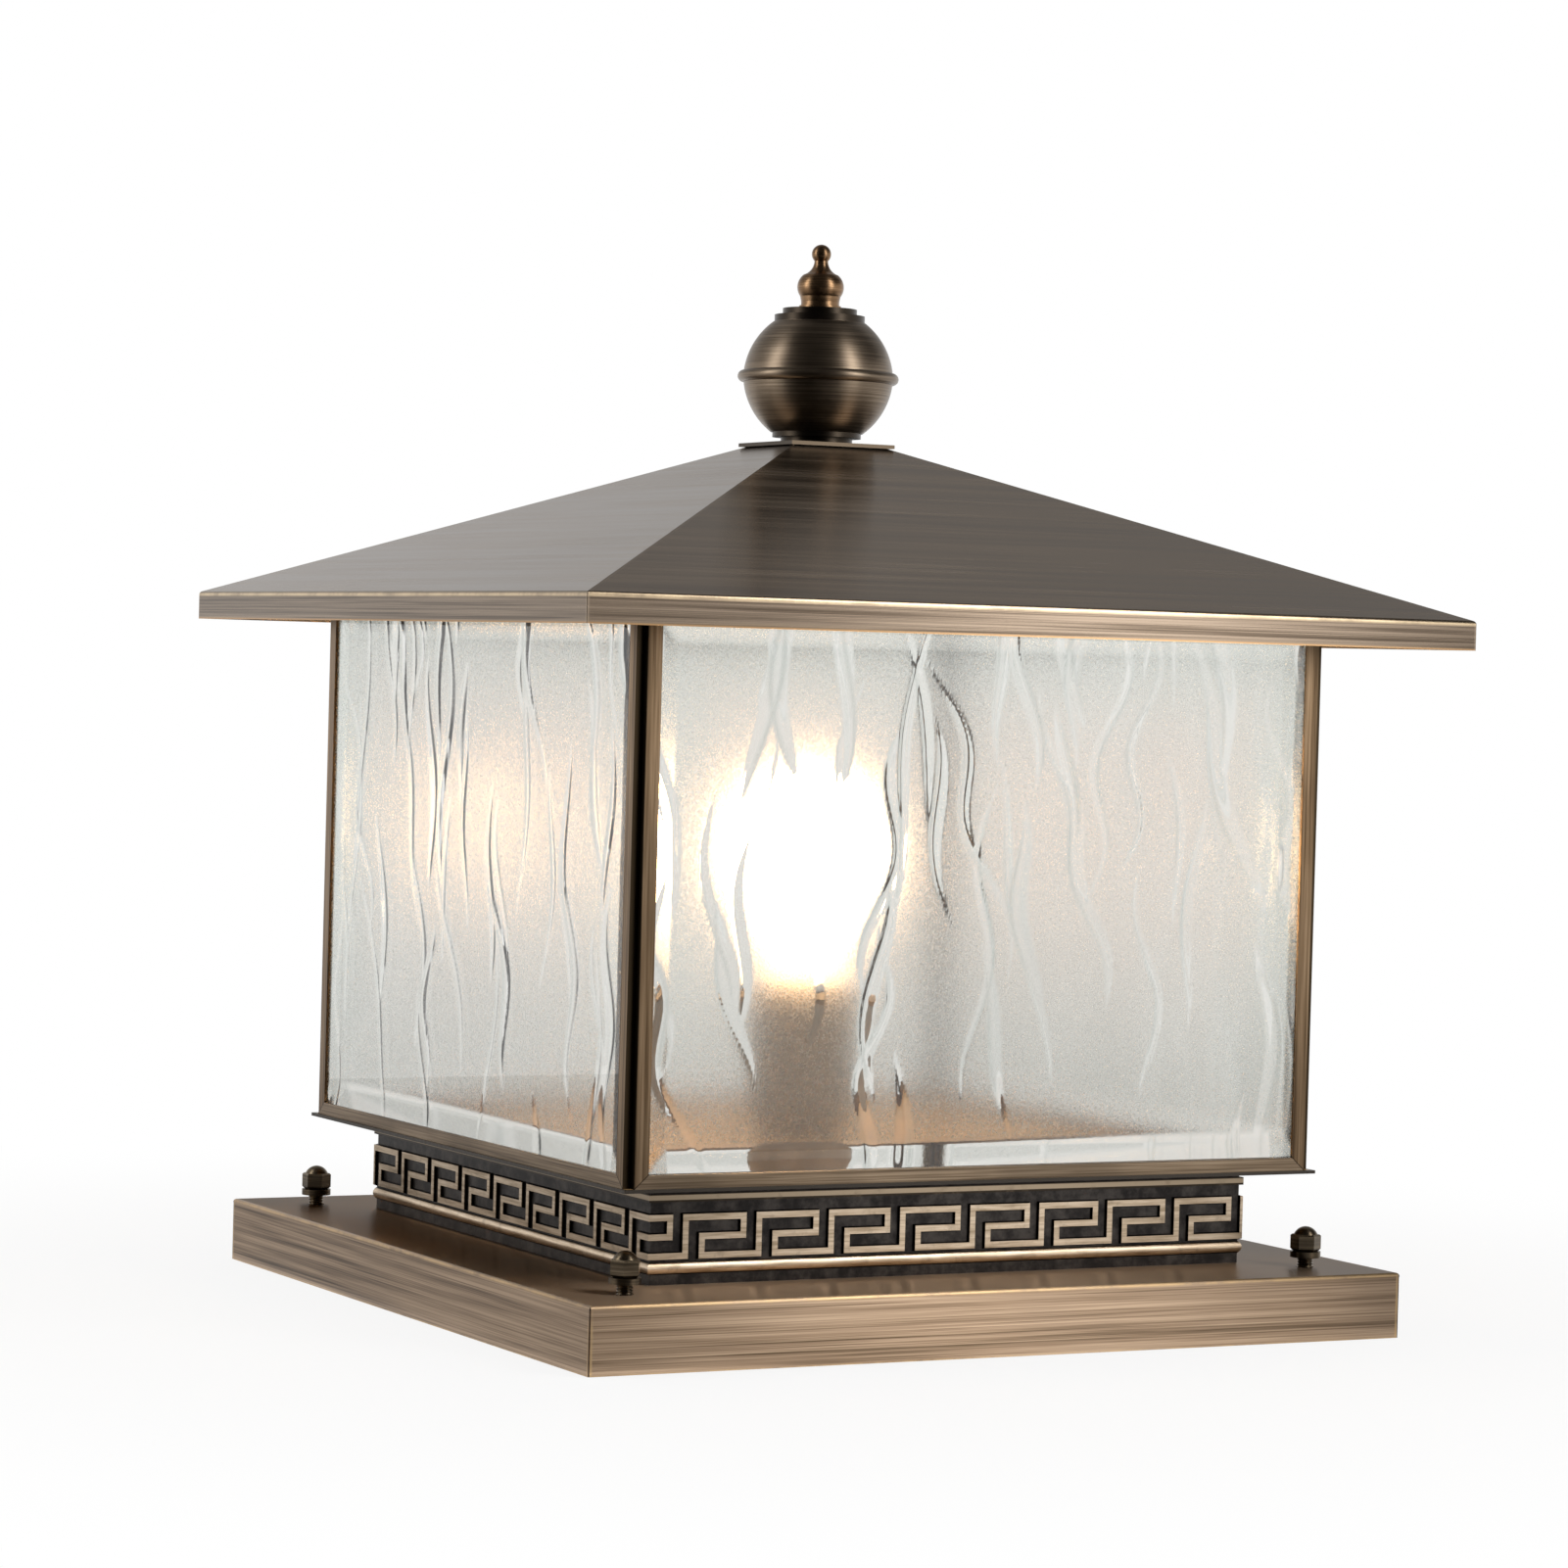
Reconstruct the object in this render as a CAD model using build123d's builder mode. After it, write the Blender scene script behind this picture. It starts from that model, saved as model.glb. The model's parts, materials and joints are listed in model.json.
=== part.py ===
"""Square pillar lantern: base tray, key-pattern plinth, glazed body, hipped roof and ball finial.

Millimetres, +Z up. The origin is the centre of the underside, on the pillar's top.
The front faces -Y. Pieces that repeat on the four sides or corners are drawn once, at the
front or at the front-left corner, and turned about the lantern's axis.
"""
import os
from math import hypot

from build123d import *

# Sheet, seams and clearances
BASE_SHEET = 1.5
FRAME_SHEET = 1.0
ROOF_SHEET = 1.0
SEAM = 0.3
REST_GAP = 0.3
THREAD_CLEARANCE = 0.05
HOLE_CLEARANCE = 0.3

# Base tray
BASE_WIDTH = 330.0
BASE_HEIGHT = 24.0
BASE_BEND = 1.2

# Mounting cross inside the tray
CROSS_WIDTH = 28.0
CROSS_SHEET = 3.0
STUD_FROM_PLINTH = 17.0
CROSS_CLEARANCE = 0.5
PILLAR_BOLT_SPACING = 140.0
PILLAR_BOLT_HOLE = 9.0
CABLE_HOLE = 25.0

# Studs, washers and cap nuts
STUD_DIAMETER = 6.0
STUD_ENGAGEMENT = 3.6
NUT_LIFT = 3.7
WASHER_DIAMETER = 11.3
WASHER_THICKNESS = 2.2
NUT_ACROSS_FLATS = 9.8
NUT_HEX_HEIGHT = 6.3
NUT_CROWN_HEIGHT = 2.9
NUT_CHAMFER = 1.0
NUT_BORE_DEPTH = 7.4

# Plinth with the key pattern
PLINTH_WIDTH = 246.0
PLINTH_HEIGHT = 34.8
PLINTH_SHEET = 1.5
FOOT_HEIGHT = 3.6
MOULDING_HEIGHT = 4.5
MOULDING_BULGE = 1.2
KEY_GAP = 0.5
KEY_HEIGHT = 16.6
KEY_STROKE = 3.1
KEY_RELIEF = 1.2
KEY_DRAFT_ANGLE = 20.0
KEY_UNITS = 8.5
KEY_FAR_STROKE = 0.786
KEY_NEAR_STROKE = 0.223
BORDER_HEIGHT = 2.8
BORDER_DROP = 2.9

# Floor plate and body frame
FLOOR_OVERHANG = 1.25
FLOOR_SHEET = 1.2
BODY_WIDTH = 281.5
BODY_HEIGHT = 193.7
POST_LEG = 8.5
POST_NOTCH = 3.0
RAIL_FACE = 4.7
RAIL_LIP = 5.0
TOP_RAIL_SETBACK = 0.8

# Glass
GLASS_THICKNESS = 4.0
GLASS_EDGE = 2.4
GLASS_BEVEL = 12.0
GLASS_CLEARANCE = 0.3
GLASS_HEADROOM = 15.0

# Roof
ROOF_WIDTH = 360.0
FASCIA_HEIGHT = 10.6
ROOF_RISE = 60.3
ROOF_OPENING = 40.0
ROOF_BEND = 1.4
CAP_PLATE_WIDTH = 44.0
CAP_PLATE_THICKNESS = 1.4

# Finial
FINIAL_WALL = 1.0
FINIAL_FOOT_DIAMETER = 27.3
FINIAL_FOOT_HEIGHT = 2.4
FINIAL_STEP_DIAMETER = 33.8
FINIAL_STEP_HEIGHT = 1.9
BOWL_NECK_DIAMETER = 35.2
BOWL_DIAMETER = 56.8
BOWL_HEIGHT = 18.8
BOWL_MID_DIAMETER = 50.8
BOWL_MID_RISE = 9.2
BEAD_DIAMETER = 61.4
BEAD_HEIGHT = 4.4
CROWN_STEP_DIAMETER = 34.4
CROWN_STEP_HEIGHT = 2.6
CROWN_DISC_DIAMETER = 28.3
CROWN_DISC_HEIGHT = 2.5
TIP_FLANGE_DIAMETER = 16.0
TIP_FLANGE_HEIGHT = 1.2
TIP_COLLAR_DIAMETER = 14.6
TIP_COLLAR_HEIGHT = 1.6
TIP_GROOVE_DIAMETER = 15.4
TIP_GROOVE_HEIGHT = 2.0
ONION_DIAMETER = 17.7
ONION_SHOULDER_DIAMETER = 13.2
ONION_HEIGHT = 8.2
TIP_NECK_DIAMETER = 5.2
TIP_NECK_HEIGHT = 5.3
TIP_BALL_DIAMETER = 7.35
TIP_BORE_DEPTH = 12.0
ROD_ENGAGEMENT = 10.0

# Roof rod, its bridge bar and their fasteners
ROD_DIAMETER = 8.0
ROD_NUT_FLATS = 13.0
ROD_NUT_HEIGHT = 6.5
ROD_TAIL = 3.0
BRIDGE_WIDTH = 20.0
BRIDGE_SHEET = 2.5
BRIDGE_RISE = 8.5
BRIDGE_TAB = 13.0
BRIDGE_SCREW_DIAMETER = 4.0
BRIDGE_SCREW_HEAD = 7.0
BRIDGE_SCREW_HEAD_HEIGHT = 2.2
BRIDGE_SCREW_SPACING = 10.0

# Lampholder, nipple and bulb
NIPPLE_DIAMETER = 10.0
NIPPLE_BORE = 7.0
NIPPLE_TAIL = 9.0
NIPPLE_NUT_FLATS = 14.0
NIPPLE_NUT_HEIGHT = 4.0
NIPPLE_ENGAGEMENT = 10.0
HOLDER_FOOT_DIAMETER = 32.0
HOLDER_DIAMETER = 40.0
HOLDER_BASE_HEIGHT = 20.0
HOLDER_BASE_FLOOR = 12.0
HOLDER_HEIGHT = 58.0
HOLDER_WALL = 3.0
HOLDER_RIM = 2.0
HOLDER_RIM_HEIGHT = 4.0
INSERT_HEIGHT = 10.0
INSERT_SLOT = 6.0
SLEEVE_BORE = 27.0
SLEEVE_WALL = 1.0
SLEEVE_HEIGHT = 20.0
CONTACT_WIDTH = 6.0
CONTACT_HEIGHT = 4.7
CAP_DIAMETER = 26.4
CAP_CONTACT_DIAMETER = 9.5
CAP_CONE_HEIGHT = 4.0
CAP_HEIGHT = 26.0
BULB_DIAMETER = 60.0
BULB_LENGTH = 107.0
BULB_NECK_DIAMETER = 28.0
BULB_NECK_HEIGHT = 6.0
BULB_WALL = 0.8

# Wiring fittings under the base
TERMINAL_LENGTH = 34.0
TERMINAL_WIDTH = 22.0
TERMINAL_HEIGHT = 15.0
TERMINAL_POLES = 3
TERMINAL_BORE = 4.5
TERMINAL_OFFSET = 55.0
TERMINAL_SCREW_DIAMETER = 3.0
EARTH_SCREW_DIAMETER = 5.0
EARTH_HEAD_FLATS = 8.0
EARTH_HEAD_HEIGHT = 3.5

# Heights and half widths that follow from the sizes above
base_half = BASE_WIDTH / 2
base_inside = BASE_HEIGHT - BASE_SHEET
plinth_half = PLINTH_WIDTH / 2
stud_place = plinth_half + STUD_FROM_PLINTH
plinth_top = BASE_HEIGHT + PLINTH_HEIGHT
floor_top = plinth_top + FLOOR_SHEET
floor_width = BODY_WIDTH + 2 * FLOOR_OVERHANG
body_half = BODY_WIDTH / 2
window_half = body_half - POST_LEG
post_step = POST_NOTCH + FRAME_SHEET
eaves = floor_top + BODY_HEIGHT
fascia_top = eaves + FASCIA_HEIGHT
roof_half = ROOF_WIDTH / 2
roof_top = fascia_top + ROOF_RISE
roof_slope = ROOF_RISE / (roof_half - ROOF_OPENING / 2)
sheet_drop = ROOF_SHEET * hypot(1, roof_slope)
frame_top = fascia_top + roof_slope * (roof_half - body_half) - sheet_drop - REST_GAP
finial_foot = roof_top + CAP_PLATE_THICKNESS
bowl_bottom = finial_foot + FINIAL_FOOT_HEIGHT + FINIAL_STEP_HEIGHT
bead_bottom = bowl_bottom + BOWL_HEIGHT
bead_top = bead_bottom + BEAD_HEIGHT
crown_bottom = bead_top + BOWL_HEIGHT
tip_bottom = crown_bottom + CROWN_STEP_HEIGHT + CROWN_DISC_HEIGHT
rod_hole = ROD_DIAMETER / 2 + HOLE_CLEARANCE
rod_top = tip_bottom + ROD_ENGAGEMENT
bridge_bottom = eaves + BRIDGE_RISE
bridge_top = bridge_bottom + BRIDGE_SHEET
rail_depth = 2 * FRAME_SHEET + GLASS_THICKNESS + GLASS_CLEARANCE
bridge_end = body_half - rail_depth
nut_bottom = BASE_HEIGHT + NUT_LIFT + WASHER_THICKNESS
stud_top = nut_bottom + STUD_ENGAGEMENT
holder_split = floor_top + HOLDER_BASE_HEIGHT
holder_top = floor_top + HOLDER_HEIGHT
insert_top = holder_split + INSERT_HEIGHT
bulb_bottom = insert_top + CONTACT_HEIGHT + REST_GAP

SIDES = {"front": 0, "right": 90, "back": 180, "left": 270}
CORNERS = {"front_left": 0, "front_right": 90, "back_right": 180, "back_left": 270}

os.makedirs("parts", exist_ok=True)


def save(piece, node, turn=0):
    """Turn a piece about the lantern's axis to its side or corner, label it and write it."""
    placed = piece.part.rotate(Axis.Z, turn)
    placed.label = node
    export_step(placed, f"parts/{node}.step")


def mitre(gap):
    """Cut both ends of a front piece back to the diagonals, half a seam away from each."""
    for hand in (1, -1):
        across = Vector(hand, 1, 0).normalized()
        split(bisect_by=Plane(origin=across * (-gap / 2), z_dir=across), keep=Keep.BOTTOM)


def hex_nut(flats, height, bottom, bore):
    """A plain hexagon nut about the lantern's axis."""
    with BuildPart() as nut:
        with BuildSketch(Plane.XY.offset(bottom)):
            RegularPolygon(flats / 2, 6, major_radius=False)
            Circle(bore / 2, mode=Mode.SUBTRACT)
        extrude(amount=height)
    return nut


# Base tray: one folded sheet, open below, with a hairline seam at each folded corner
with BuildPart() as base_tray:
    with BuildSketch():
        Rectangle(BASE_WIDTH, BASE_WIDTH)
    extrude(amount=BASE_HEIGHT)
    fillet(base_tray.faces().sort_by(Axis.Z)[-1].edges(), BASE_BEND)
    with BuildSketch():
        Rectangle(BASE_WIDTH - 2 * BASE_SHEET, BASE_WIDTH - 2 * BASE_SHEET)
    extrude(amount=base_inside, mode=Mode.SUBTRACT)
    with BuildSketch(Plane.XY):
        with PolarLocations(base_half * 2 ** 0.5, 4, start_angle=45):
            Rectangle(4 * BASE_SHEET, SEAM)
    extrude(amount=base_inside, mode=Mode.SUBTRACT)
    with BuildSketch(Plane.XY.offset(base_inside)):
        with GridLocations(2 * stud_place, 2 * stud_place, 2, 2):
            Circle(STUD_DIAMETER / 2 + HOLE_CLEARANCE)
        Circle(NIPPLE_DIAMETER / 2 + THREAD_CLEARANCE)
        with Locations((TERMINAL_OFFSET, 0)):
            Circle(TERMINAL_SCREW_DIAMETER / 2 + THREAD_CLEARANCE)
        with Locations((-TERMINAL_OFFSET, 0)):
            Circle(EARTH_SCREW_DIAMETER / 2 + THREAD_CLEARANCE)
    extrude(amount=BASE_SHEET, mode=Mode.SUBTRACT)
save(base_tray, "base_tray")

# Mounting cross: two diagonal straps in one plate, bolted to the pillar, with the cable hole
cross_length = 2 * 2 ** 0.5 * stud_place + CROSS_WIDTH
cross_room = BASE_WIDTH - 2 * (BASE_SHEET + CROSS_CLEARANCE)
with BuildPart() as mounting_cross:
    with BuildSketch():
        for strap_turn in (45, -45):
            SlotOverall(cross_length, CROSS_WIDTH, rotation=strap_turn)
        Rectangle(cross_room, cross_room, mode=Mode.INTERSECT)
        with GridLocations(PILLAR_BOLT_SPACING, PILLAR_BOLT_SPACING, 2, 2):
            Circle(PILLAR_BOLT_HOLE / 2, mode=Mode.SUBTRACT)
        Circle(CABLE_HOLE / 2, mode=Mode.SUBTRACT)
    extrude(amount=CROSS_SHEET)
save(mounting_cross, "mounting_cross")

# Studs: welded to the cross, one through each corner of the tray
with BuildPart() as mounting_studs:
    with BuildSketch(Plane.XY.offset(CROSS_SHEET)):
        with GridLocations(2 * stud_place, 2 * stud_place, 2, 2):
            Circle(STUD_DIAMETER / 2)
    extrude(amount=stud_top - CROSS_SHEET)
save(mounting_studs, "mounting_studs")

# Washers and cap nuts: one of each on every stud, run part of the way down
stud_bore = STUD_DIAMETER / 2 + THREAD_CLEARANCE
hex_top = nut_bottom + NUT_HEX_HEIGHT
crown_radius = NUT_ACROSS_FLATS / 2 - NUT_CHAMFER / 2
crown_sphere = (crown_radius ** 2 + NUT_CROWN_HEIGHT ** 2) / (2 * NUT_CROWN_HEIGHT)

with BuildPart() as stud_washer:
    with BuildSketch(Plane.XY.offset(BASE_HEIGHT + NUT_LIFT)):
        with Locations((-stud_place, -stud_place)):
            Circle(WASHER_DIAMETER / 2)
            Circle(stud_bore, mode=Mode.SUBTRACT)
    extrude(amount=WASHER_THICKNESS)

nut_axis = Axis((-stud_place, -stud_place, 0), (0, 0, 1))
with BuildPart() as cap_nut:
    with BuildSketch(Plane.XY.offset(nut_bottom)):
        with Locations((-stud_place, -stud_place)):
            RegularPolygon(NUT_ACROSS_FLATS / 2, 6, major_radius=False)
    extrude(amount=NUT_HEX_HEIGHT)
    chamfer(cap_nut.faces().sort_by(Axis.Z)[0].edges(), NUT_CHAMFER)
    chamfer(cap_nut.faces().sort_by(Axis.Z)[-1].edges(), NUT_CHAMFER / 2)
    with BuildSketch(Plane.XZ.offset(stud_place)):
        with BuildLine():
            Polyline(
                (-stud_place, hex_top + NUT_CROWN_HEIGHT),
                (-stud_place, hex_top),
                (-stud_place + crown_radius, hex_top),
            )
            RadiusArc(
                (-stud_place + crown_radius, hex_top),
                (-stud_place, hex_top + NUT_CROWN_HEIGHT),
                -crown_sphere,
            )
        make_face()
    revolve(axis=nut_axis)
    with BuildSketch(Plane.XY.offset(nut_bottom)):
        with Locations((-stud_place, -stud_place)):
            Circle(stud_bore)
    extrude(amount=NUT_BORE_DEPTH, mode=Mode.SUBTRACT)

for corner, turn in CORNERS.items():
    save(stud_washer, f"washer_{corner}", turn)
    save(cap_nut, f"cap_nut_{corner}", turn)


# Key bands: a pressed strip with border, meander and lower moulding, mitred at the corners
def key_band(started):
    """One plinth side. The meander runs on round the corners: started is the share of a
    unit that the side before it has already shown."""
    ground = plinth_half - KEY_RELIEF
    foot_top = BASE_HEIGHT + FOOT_HEIGHT
    moulding_top = foot_top + MOULDING_HEIGHT
    border_top = plinth_top - BORDER_DROP
    border_bottom = border_top - BORDER_HEIGHT
    low = moulding_top + KEY_GAP + KEY_STROKE / 2
    high = low + KEY_HEIGHT - KEY_STROKE
    middle = (low + high) / 2
    pitch = PLINTH_WIDTH / KEY_UNITS
    near = KEY_NEAR_STROKE * pitch
    far = KEY_FAR_STROKE * pitch
    path = [(0, low), (0, high), (far, high), (far, middle), (near, middle), (near, low), (pitch, low)]
    with BuildSketch(Plane.XZ.offset(ground)) as unit:
        for (x1, z1), (x2, z2) in zip(path, path[1:]):
            with Locations(((x1 + x2) / 2, (z1 + z2) / 2)):
                Rectangle(abs(x2 - x1) + KEY_STROKE, abs(z2 - z1) + KEY_STROKE)
    with BuildPart() as band:
        with BuildSketch(Plane.YZ):
            with BuildLine():
                Polyline(
                    (-ground, foot_top),
                    (-ground, BASE_HEIGHT),
                    (-ground + PLINTH_SHEET, BASE_HEIGHT),
                    (-ground + PLINTH_SHEET, plinth_top),
                    (-ground, plinth_top),
                    (-ground, border_top),
                    (-plinth_half, border_top),
                    (-plinth_half, border_bottom),
                    (-ground, border_bottom),
                    (-ground, moulding_top),
                )
                ThreePointArc(
                    (-ground, moulding_top),
                    (-ground - MOULDING_BULGE, (moulding_top + foot_top) / 2),
                    (-ground, foot_top),
                )
            make_face()
        extrude(amount=plinth_half + MOULDING_BULGE, both=True)
        starts = [-plinth_half + (n - started) * pitch for n in range(int(KEY_UNITS) + 2)]
        with BuildSketch(Plane.XZ.offset(ground)):
            with Locations(*[(x, 0) for x in starts]):
                add(unit.sketch_local)
            with Locations((0, middle)):
                Rectangle(PLINTH_WIDTH + 2 * KEY_STROKE, 2 * KEY_HEIGHT, mode=Mode.INTERSECT)
        extrude(amount=KEY_RELIEF, taper=KEY_DRAFT_ANGLE)
        mitre(0)
    return band


half_unit = KEY_UNITS % 1
for (side, turn), shown in zip(SIDES.items(), (half_unit, 0, half_unit, 0)):
    save(key_band(shown), f"key_band_{side}", turn)

# Floor plate of the body, standing out past the frame all round
with BuildPart() as floor_plate:
    with BuildSketch(Plane.XY.offset(plinth_top)):
        Rectangle(floor_width, floor_width)
        Circle(NIPPLE_DIAMETER / 2 + THREAD_CLEARANCE, mode=Mode.SUBTRACT)
    extrude(amount=FLOOR_SHEET)
save(floor_plate, "floor_plate")

# Corner posts: a folded strip with a square notch down the corner, mitred onto the bottom rails
outer = [(POST_LEG, 0), (POST_NOTCH, 0), (POST_NOTCH, POST_NOTCH), (0, POST_NOTCH), (0, POST_LEG)]
inner = [
    (FRAME_SHEET, POST_LEG),
    (FRAME_SHEET, post_step),
    (post_step, post_step),
    (post_step, FRAME_SHEET),
    (POST_LEG, FRAME_SHEET),
]
rail_top = floor_top + RAIL_FACE
post_mitre = [
    (-body_half + POST_NOTCH, floor_top),
    (-body_half + POST_LEG, floor_top),
    (-body_half + POST_LEG, rail_top),
]
with BuildPart() as corner_post:
    with BuildSketch(Plane.XY.offset(floor_top)):
        with BuildLine():
            Polyline(*[(x - body_half, y - body_half) for x, y in outer + inner], close=True)
        make_face()
    extrude(amount=frame_top - floor_top)
    with BuildSketch(Plane.XZ.offset(body_half)):
        with BuildLine():
            Polyline(*post_mitre, close=True)
        make_face()
    extrude(amount=-FRAME_SHEET, mode=Mode.SUBTRACT)
    with BuildSketch(Plane.YZ.offset(-body_half)):
        with BuildLine():
            Polyline(*post_mitre, close=True)
        make_face()
    extrude(amount=FRAME_SHEET, mode=Mode.SUBTRACT)
for corner, turn in CORNERS.items():
    save(corner_post, f"corner_post_{corner}", turn)

# Bottom rails: a low channel that the glass stands in, its face mitred between two posts
with BuildPart() as bottom_rail:
    with BuildSketch(Plane.XZ.offset(body_half)):
        with BuildLine():
            Polyline(
                (-body_half + POST_NOTCH, floor_top),
                (body_half - POST_NOTCH, floor_top),
                (window_half, rail_top),
                (-window_half, rail_top),
                close=True,
            )
        make_face()
    extrude(amount=-FRAME_SHEET)
    with BuildSketch(Plane.YZ):
        with BuildLine():
            Polyline(
                (-body_half + FRAME_SHEET, floor_top),
                (-bridge_end, floor_top),
                (-bridge_end, floor_top + RAIL_LIP),
                (-bridge_end - FRAME_SHEET, floor_top + RAIL_LIP),
                (-bridge_end - FRAME_SHEET, floor_top + FRAME_SHEET),
                (-body_half + FRAME_SHEET, floor_top + FRAME_SHEET),
                close=True,
            )
        make_face()
    extrude(amount=window_half, both=True)
for side, turn in SIDES.items():
    save(bottom_rail, f"bottom_rail_{side}", turn)

# Top rails: a deep channel over the glass, behind the fascia; the roof rests on its top
top_rail_bottom = eaves + TOP_RAIL_SETBACK
tab_middle = bridge_top + BRIDGE_TAB / 2


def top_rail(bridged):
    """One top rail, drilled for the bridge bar's screws where the bar meets it."""
    with BuildPart() as rail:
        with BuildSketch(Plane.YZ):
            with BuildLine():
                Polyline(
                    (-body_half, top_rail_bottom),
                    (-body_half, frame_top),
                    (-bridge_end, frame_top),
                    (-bridge_end, top_rail_bottom),
                    (-bridge_end - FRAME_SHEET, top_rail_bottom),
                    (-bridge_end - FRAME_SHEET, frame_top - FRAME_SHEET),
                    (-body_half + FRAME_SHEET, frame_top - FRAME_SHEET),
                    (-body_half + FRAME_SHEET, top_rail_bottom),
                    close=True,
                )
            make_face()
        extrude(amount=window_half, both=True)
        if bridged:
            with BuildSketch(Plane.XZ.offset(bridge_end)):
                with Locations((0, tab_middle)):
                    with GridLocations(BRIDGE_SCREW_SPACING, 1, 2, 1):
                        Circle(BRIDGE_SCREW_DIAMETER / 2 + THREAD_CLEARANCE)
            extrude(amount=FRAME_SHEET, mode=Mode.SUBTRACT)
    return rail


for side, turn in SIDES.items():
    save(top_rail(side in ("front", "back")), f"top_rail_{side}", turn)

# Glass: four panes with a wide bevel ground on the inner face
pane_bottom = floor_top + FRAME_SHEET
pane_top = frame_top - FRAME_SHEET - GLASS_HEADROOM
pane_width = 2 * (body_half - post_step - GLASS_CLEARANCE)
pane_height = pane_top - pane_bottom
pane_middle = (pane_bottom + pane_top) / 2
glass_face = body_half - FRAME_SHEET
with BuildPart() as glass_pane:
    with BuildSketch(Plane.XZ.offset(glass_face)):
        with Locations((0, pane_middle)):
            Rectangle(pane_width, pane_height)
    extrude(amount=-GLASS_EDGE)
    with BuildSketch(Plane.XZ.offset(glass_face - GLASS_EDGE)):
        with Locations((0, pane_middle)):
            Rectangle(pane_width, pane_height)
    with BuildSketch(Plane.XZ.offset(glass_face - GLASS_THICKNESS)):
        with Locations((0, pane_middle)):
            Rectangle(pane_width - 2 * GLASS_BEVEL, pane_height - 2 * GLASS_BEVEL)
    loft()
for side, turn in SIDES.items():
    save(glass_pane, f"glass_pane_{side}", turn)

# Roof panels: slope and fascia folded from one sheet, four of them soldered along the hips
opening_half = ROOF_OPENING / 2
with BuildPart() as roof_panel:
    with BuildSketch(Plane.YZ):
        with BuildLine():
            Polyline(
                (-roof_half, eaves),
                (-roof_half, fascia_top),
                (-opening_half, roof_top),
                (-opening_half, roof_top - sheet_drop),
                (-roof_half + ROOF_SHEET, fascia_top + roof_slope * ROOF_SHEET - sheet_drop),
                (-roof_half + ROOF_SHEET, eaves),
                close=True,
            )
        make_face()
    extrude(amount=roof_half, both=True)
    fold = roof_panel.edges().filter_by(Axis.X).sort_by(Axis.Y)[:2].sort_by(Axis.Z)[-1]
    fillet(fold, ROOF_BEND)
    mitre(SEAM)
for side, turn in SIDES.items():
    save(roof_panel, f"roof_panel_{side}", turn)

# Cap plate over the open top of the roof
with BuildPart() as roof_cap_plate:
    with BuildSketch(Plane.XY.offset(roof_top)):
        Rectangle(CAP_PLATE_WIDTH, CAP_PLATE_WIDTH)
        Circle(rod_hole, mode=Mode.SUBTRACT)
    extrude(amount=CAP_PLATE_THICKNESS)
save(roof_cap_plate, "roof_cap_plate")

# Finial, lower half: stepped foot, spun bowl and the bead round its rim
bowl_neck = BOWL_NECK_DIAMETER / 2
bowl_rim = BOWL_DIAMETER / 2
bowl_mid = BOWL_MID_DIAMETER / 2
finial_step = finial_foot + FINIAL_FOOT_HEIGHT
with BuildPart() as finial_lower:
    with BuildSketch(Plane.XZ):
        with BuildLine():
            Polyline(
                (rod_hole, bowl_bottom + FINIAL_WALL),
                (rod_hole, finial_foot),
                (FINIAL_FOOT_DIAMETER / 2, finial_foot),
                (FINIAL_FOOT_DIAMETER / 2, finial_step),
                (FINIAL_STEP_DIAMETER / 2, finial_step),
                (FINIAL_STEP_DIAMETER / 2, bowl_bottom),
                (bowl_neck, bowl_bottom),
            )
            ThreePointArc(
                (bowl_neck, bowl_bottom),
                (bowl_mid, bowl_bottom + BOWL_MID_RISE),
                (bowl_rim, bead_bottom),
            )
            ThreePointArc(
                (bowl_rim, bead_bottom),
                (BEAD_DIAMETER / 2, (bead_bottom + bead_top) / 2),
                (bowl_rim, bead_top),
            )
            Polyline(
                (bowl_rim, bead_top),
                (bowl_rim - FINIAL_WALL, bead_top),
                (bowl_rim - FINIAL_WALL, bead_bottom),
            )
            ThreePointArc(
                (bowl_rim - FINIAL_WALL, bead_bottom),
                (bowl_mid - FINIAL_WALL, bowl_bottom + BOWL_MID_RISE + FINIAL_WALL),
                (bowl_neck - FINIAL_WALL, bowl_bottom + FINIAL_WALL),
            )
            Line((bowl_neck - FINIAL_WALL, bowl_bottom + FINIAL_WALL), (rod_hole, bowl_bottom + FINIAL_WALL))
        make_face()
    revolve(axis=Axis.Z)
save(finial_lower, "finial_lower")

# Finial, upper half: the matching bowl turned over, with a step and a disc on top
crown_step = crown_bottom + CROWN_STEP_HEIGHT
with BuildPart() as finial_upper:
    with BuildSketch(Plane.XZ):
        with BuildLine():
            Polyline(
                (rod_hole, crown_bottom - FINIAL_WALL),
                (rod_hole, tip_bottom),
                (CROWN_DISC_DIAMETER / 2, tip_bottom),
                (CROWN_DISC_DIAMETER / 2, crown_step),
                (CROWN_STEP_DIAMETER / 2, crown_step),
                (CROWN_STEP_DIAMETER / 2, crown_bottom),
                (bowl_neck, crown_bottom),
            )
            ThreePointArc(
                (bowl_neck, crown_bottom),
                (bowl_mid, crown_bottom - BOWL_MID_RISE),
                (bowl_rim, bead_top),
            )
            Line((bowl_rim, bead_top), (bowl_rim - FINIAL_WALL, bead_top))
            ThreePointArc(
                (bowl_rim - FINIAL_WALL, bead_top),
                (bowl_mid - FINIAL_WALL, crown_bottom - BOWL_MID_RISE - FINIAL_WALL),
                (bowl_neck - FINIAL_WALL, crown_bottom - FINIAL_WALL),
            )
            Line((bowl_neck - FINIAL_WALL, crown_bottom - FINIAL_WALL), (rod_hole, crown_bottom - FINIAL_WALL))
        make_face()
    revolve(axis=Axis.Z)
save(finial_upper, "finial_upper")

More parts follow.
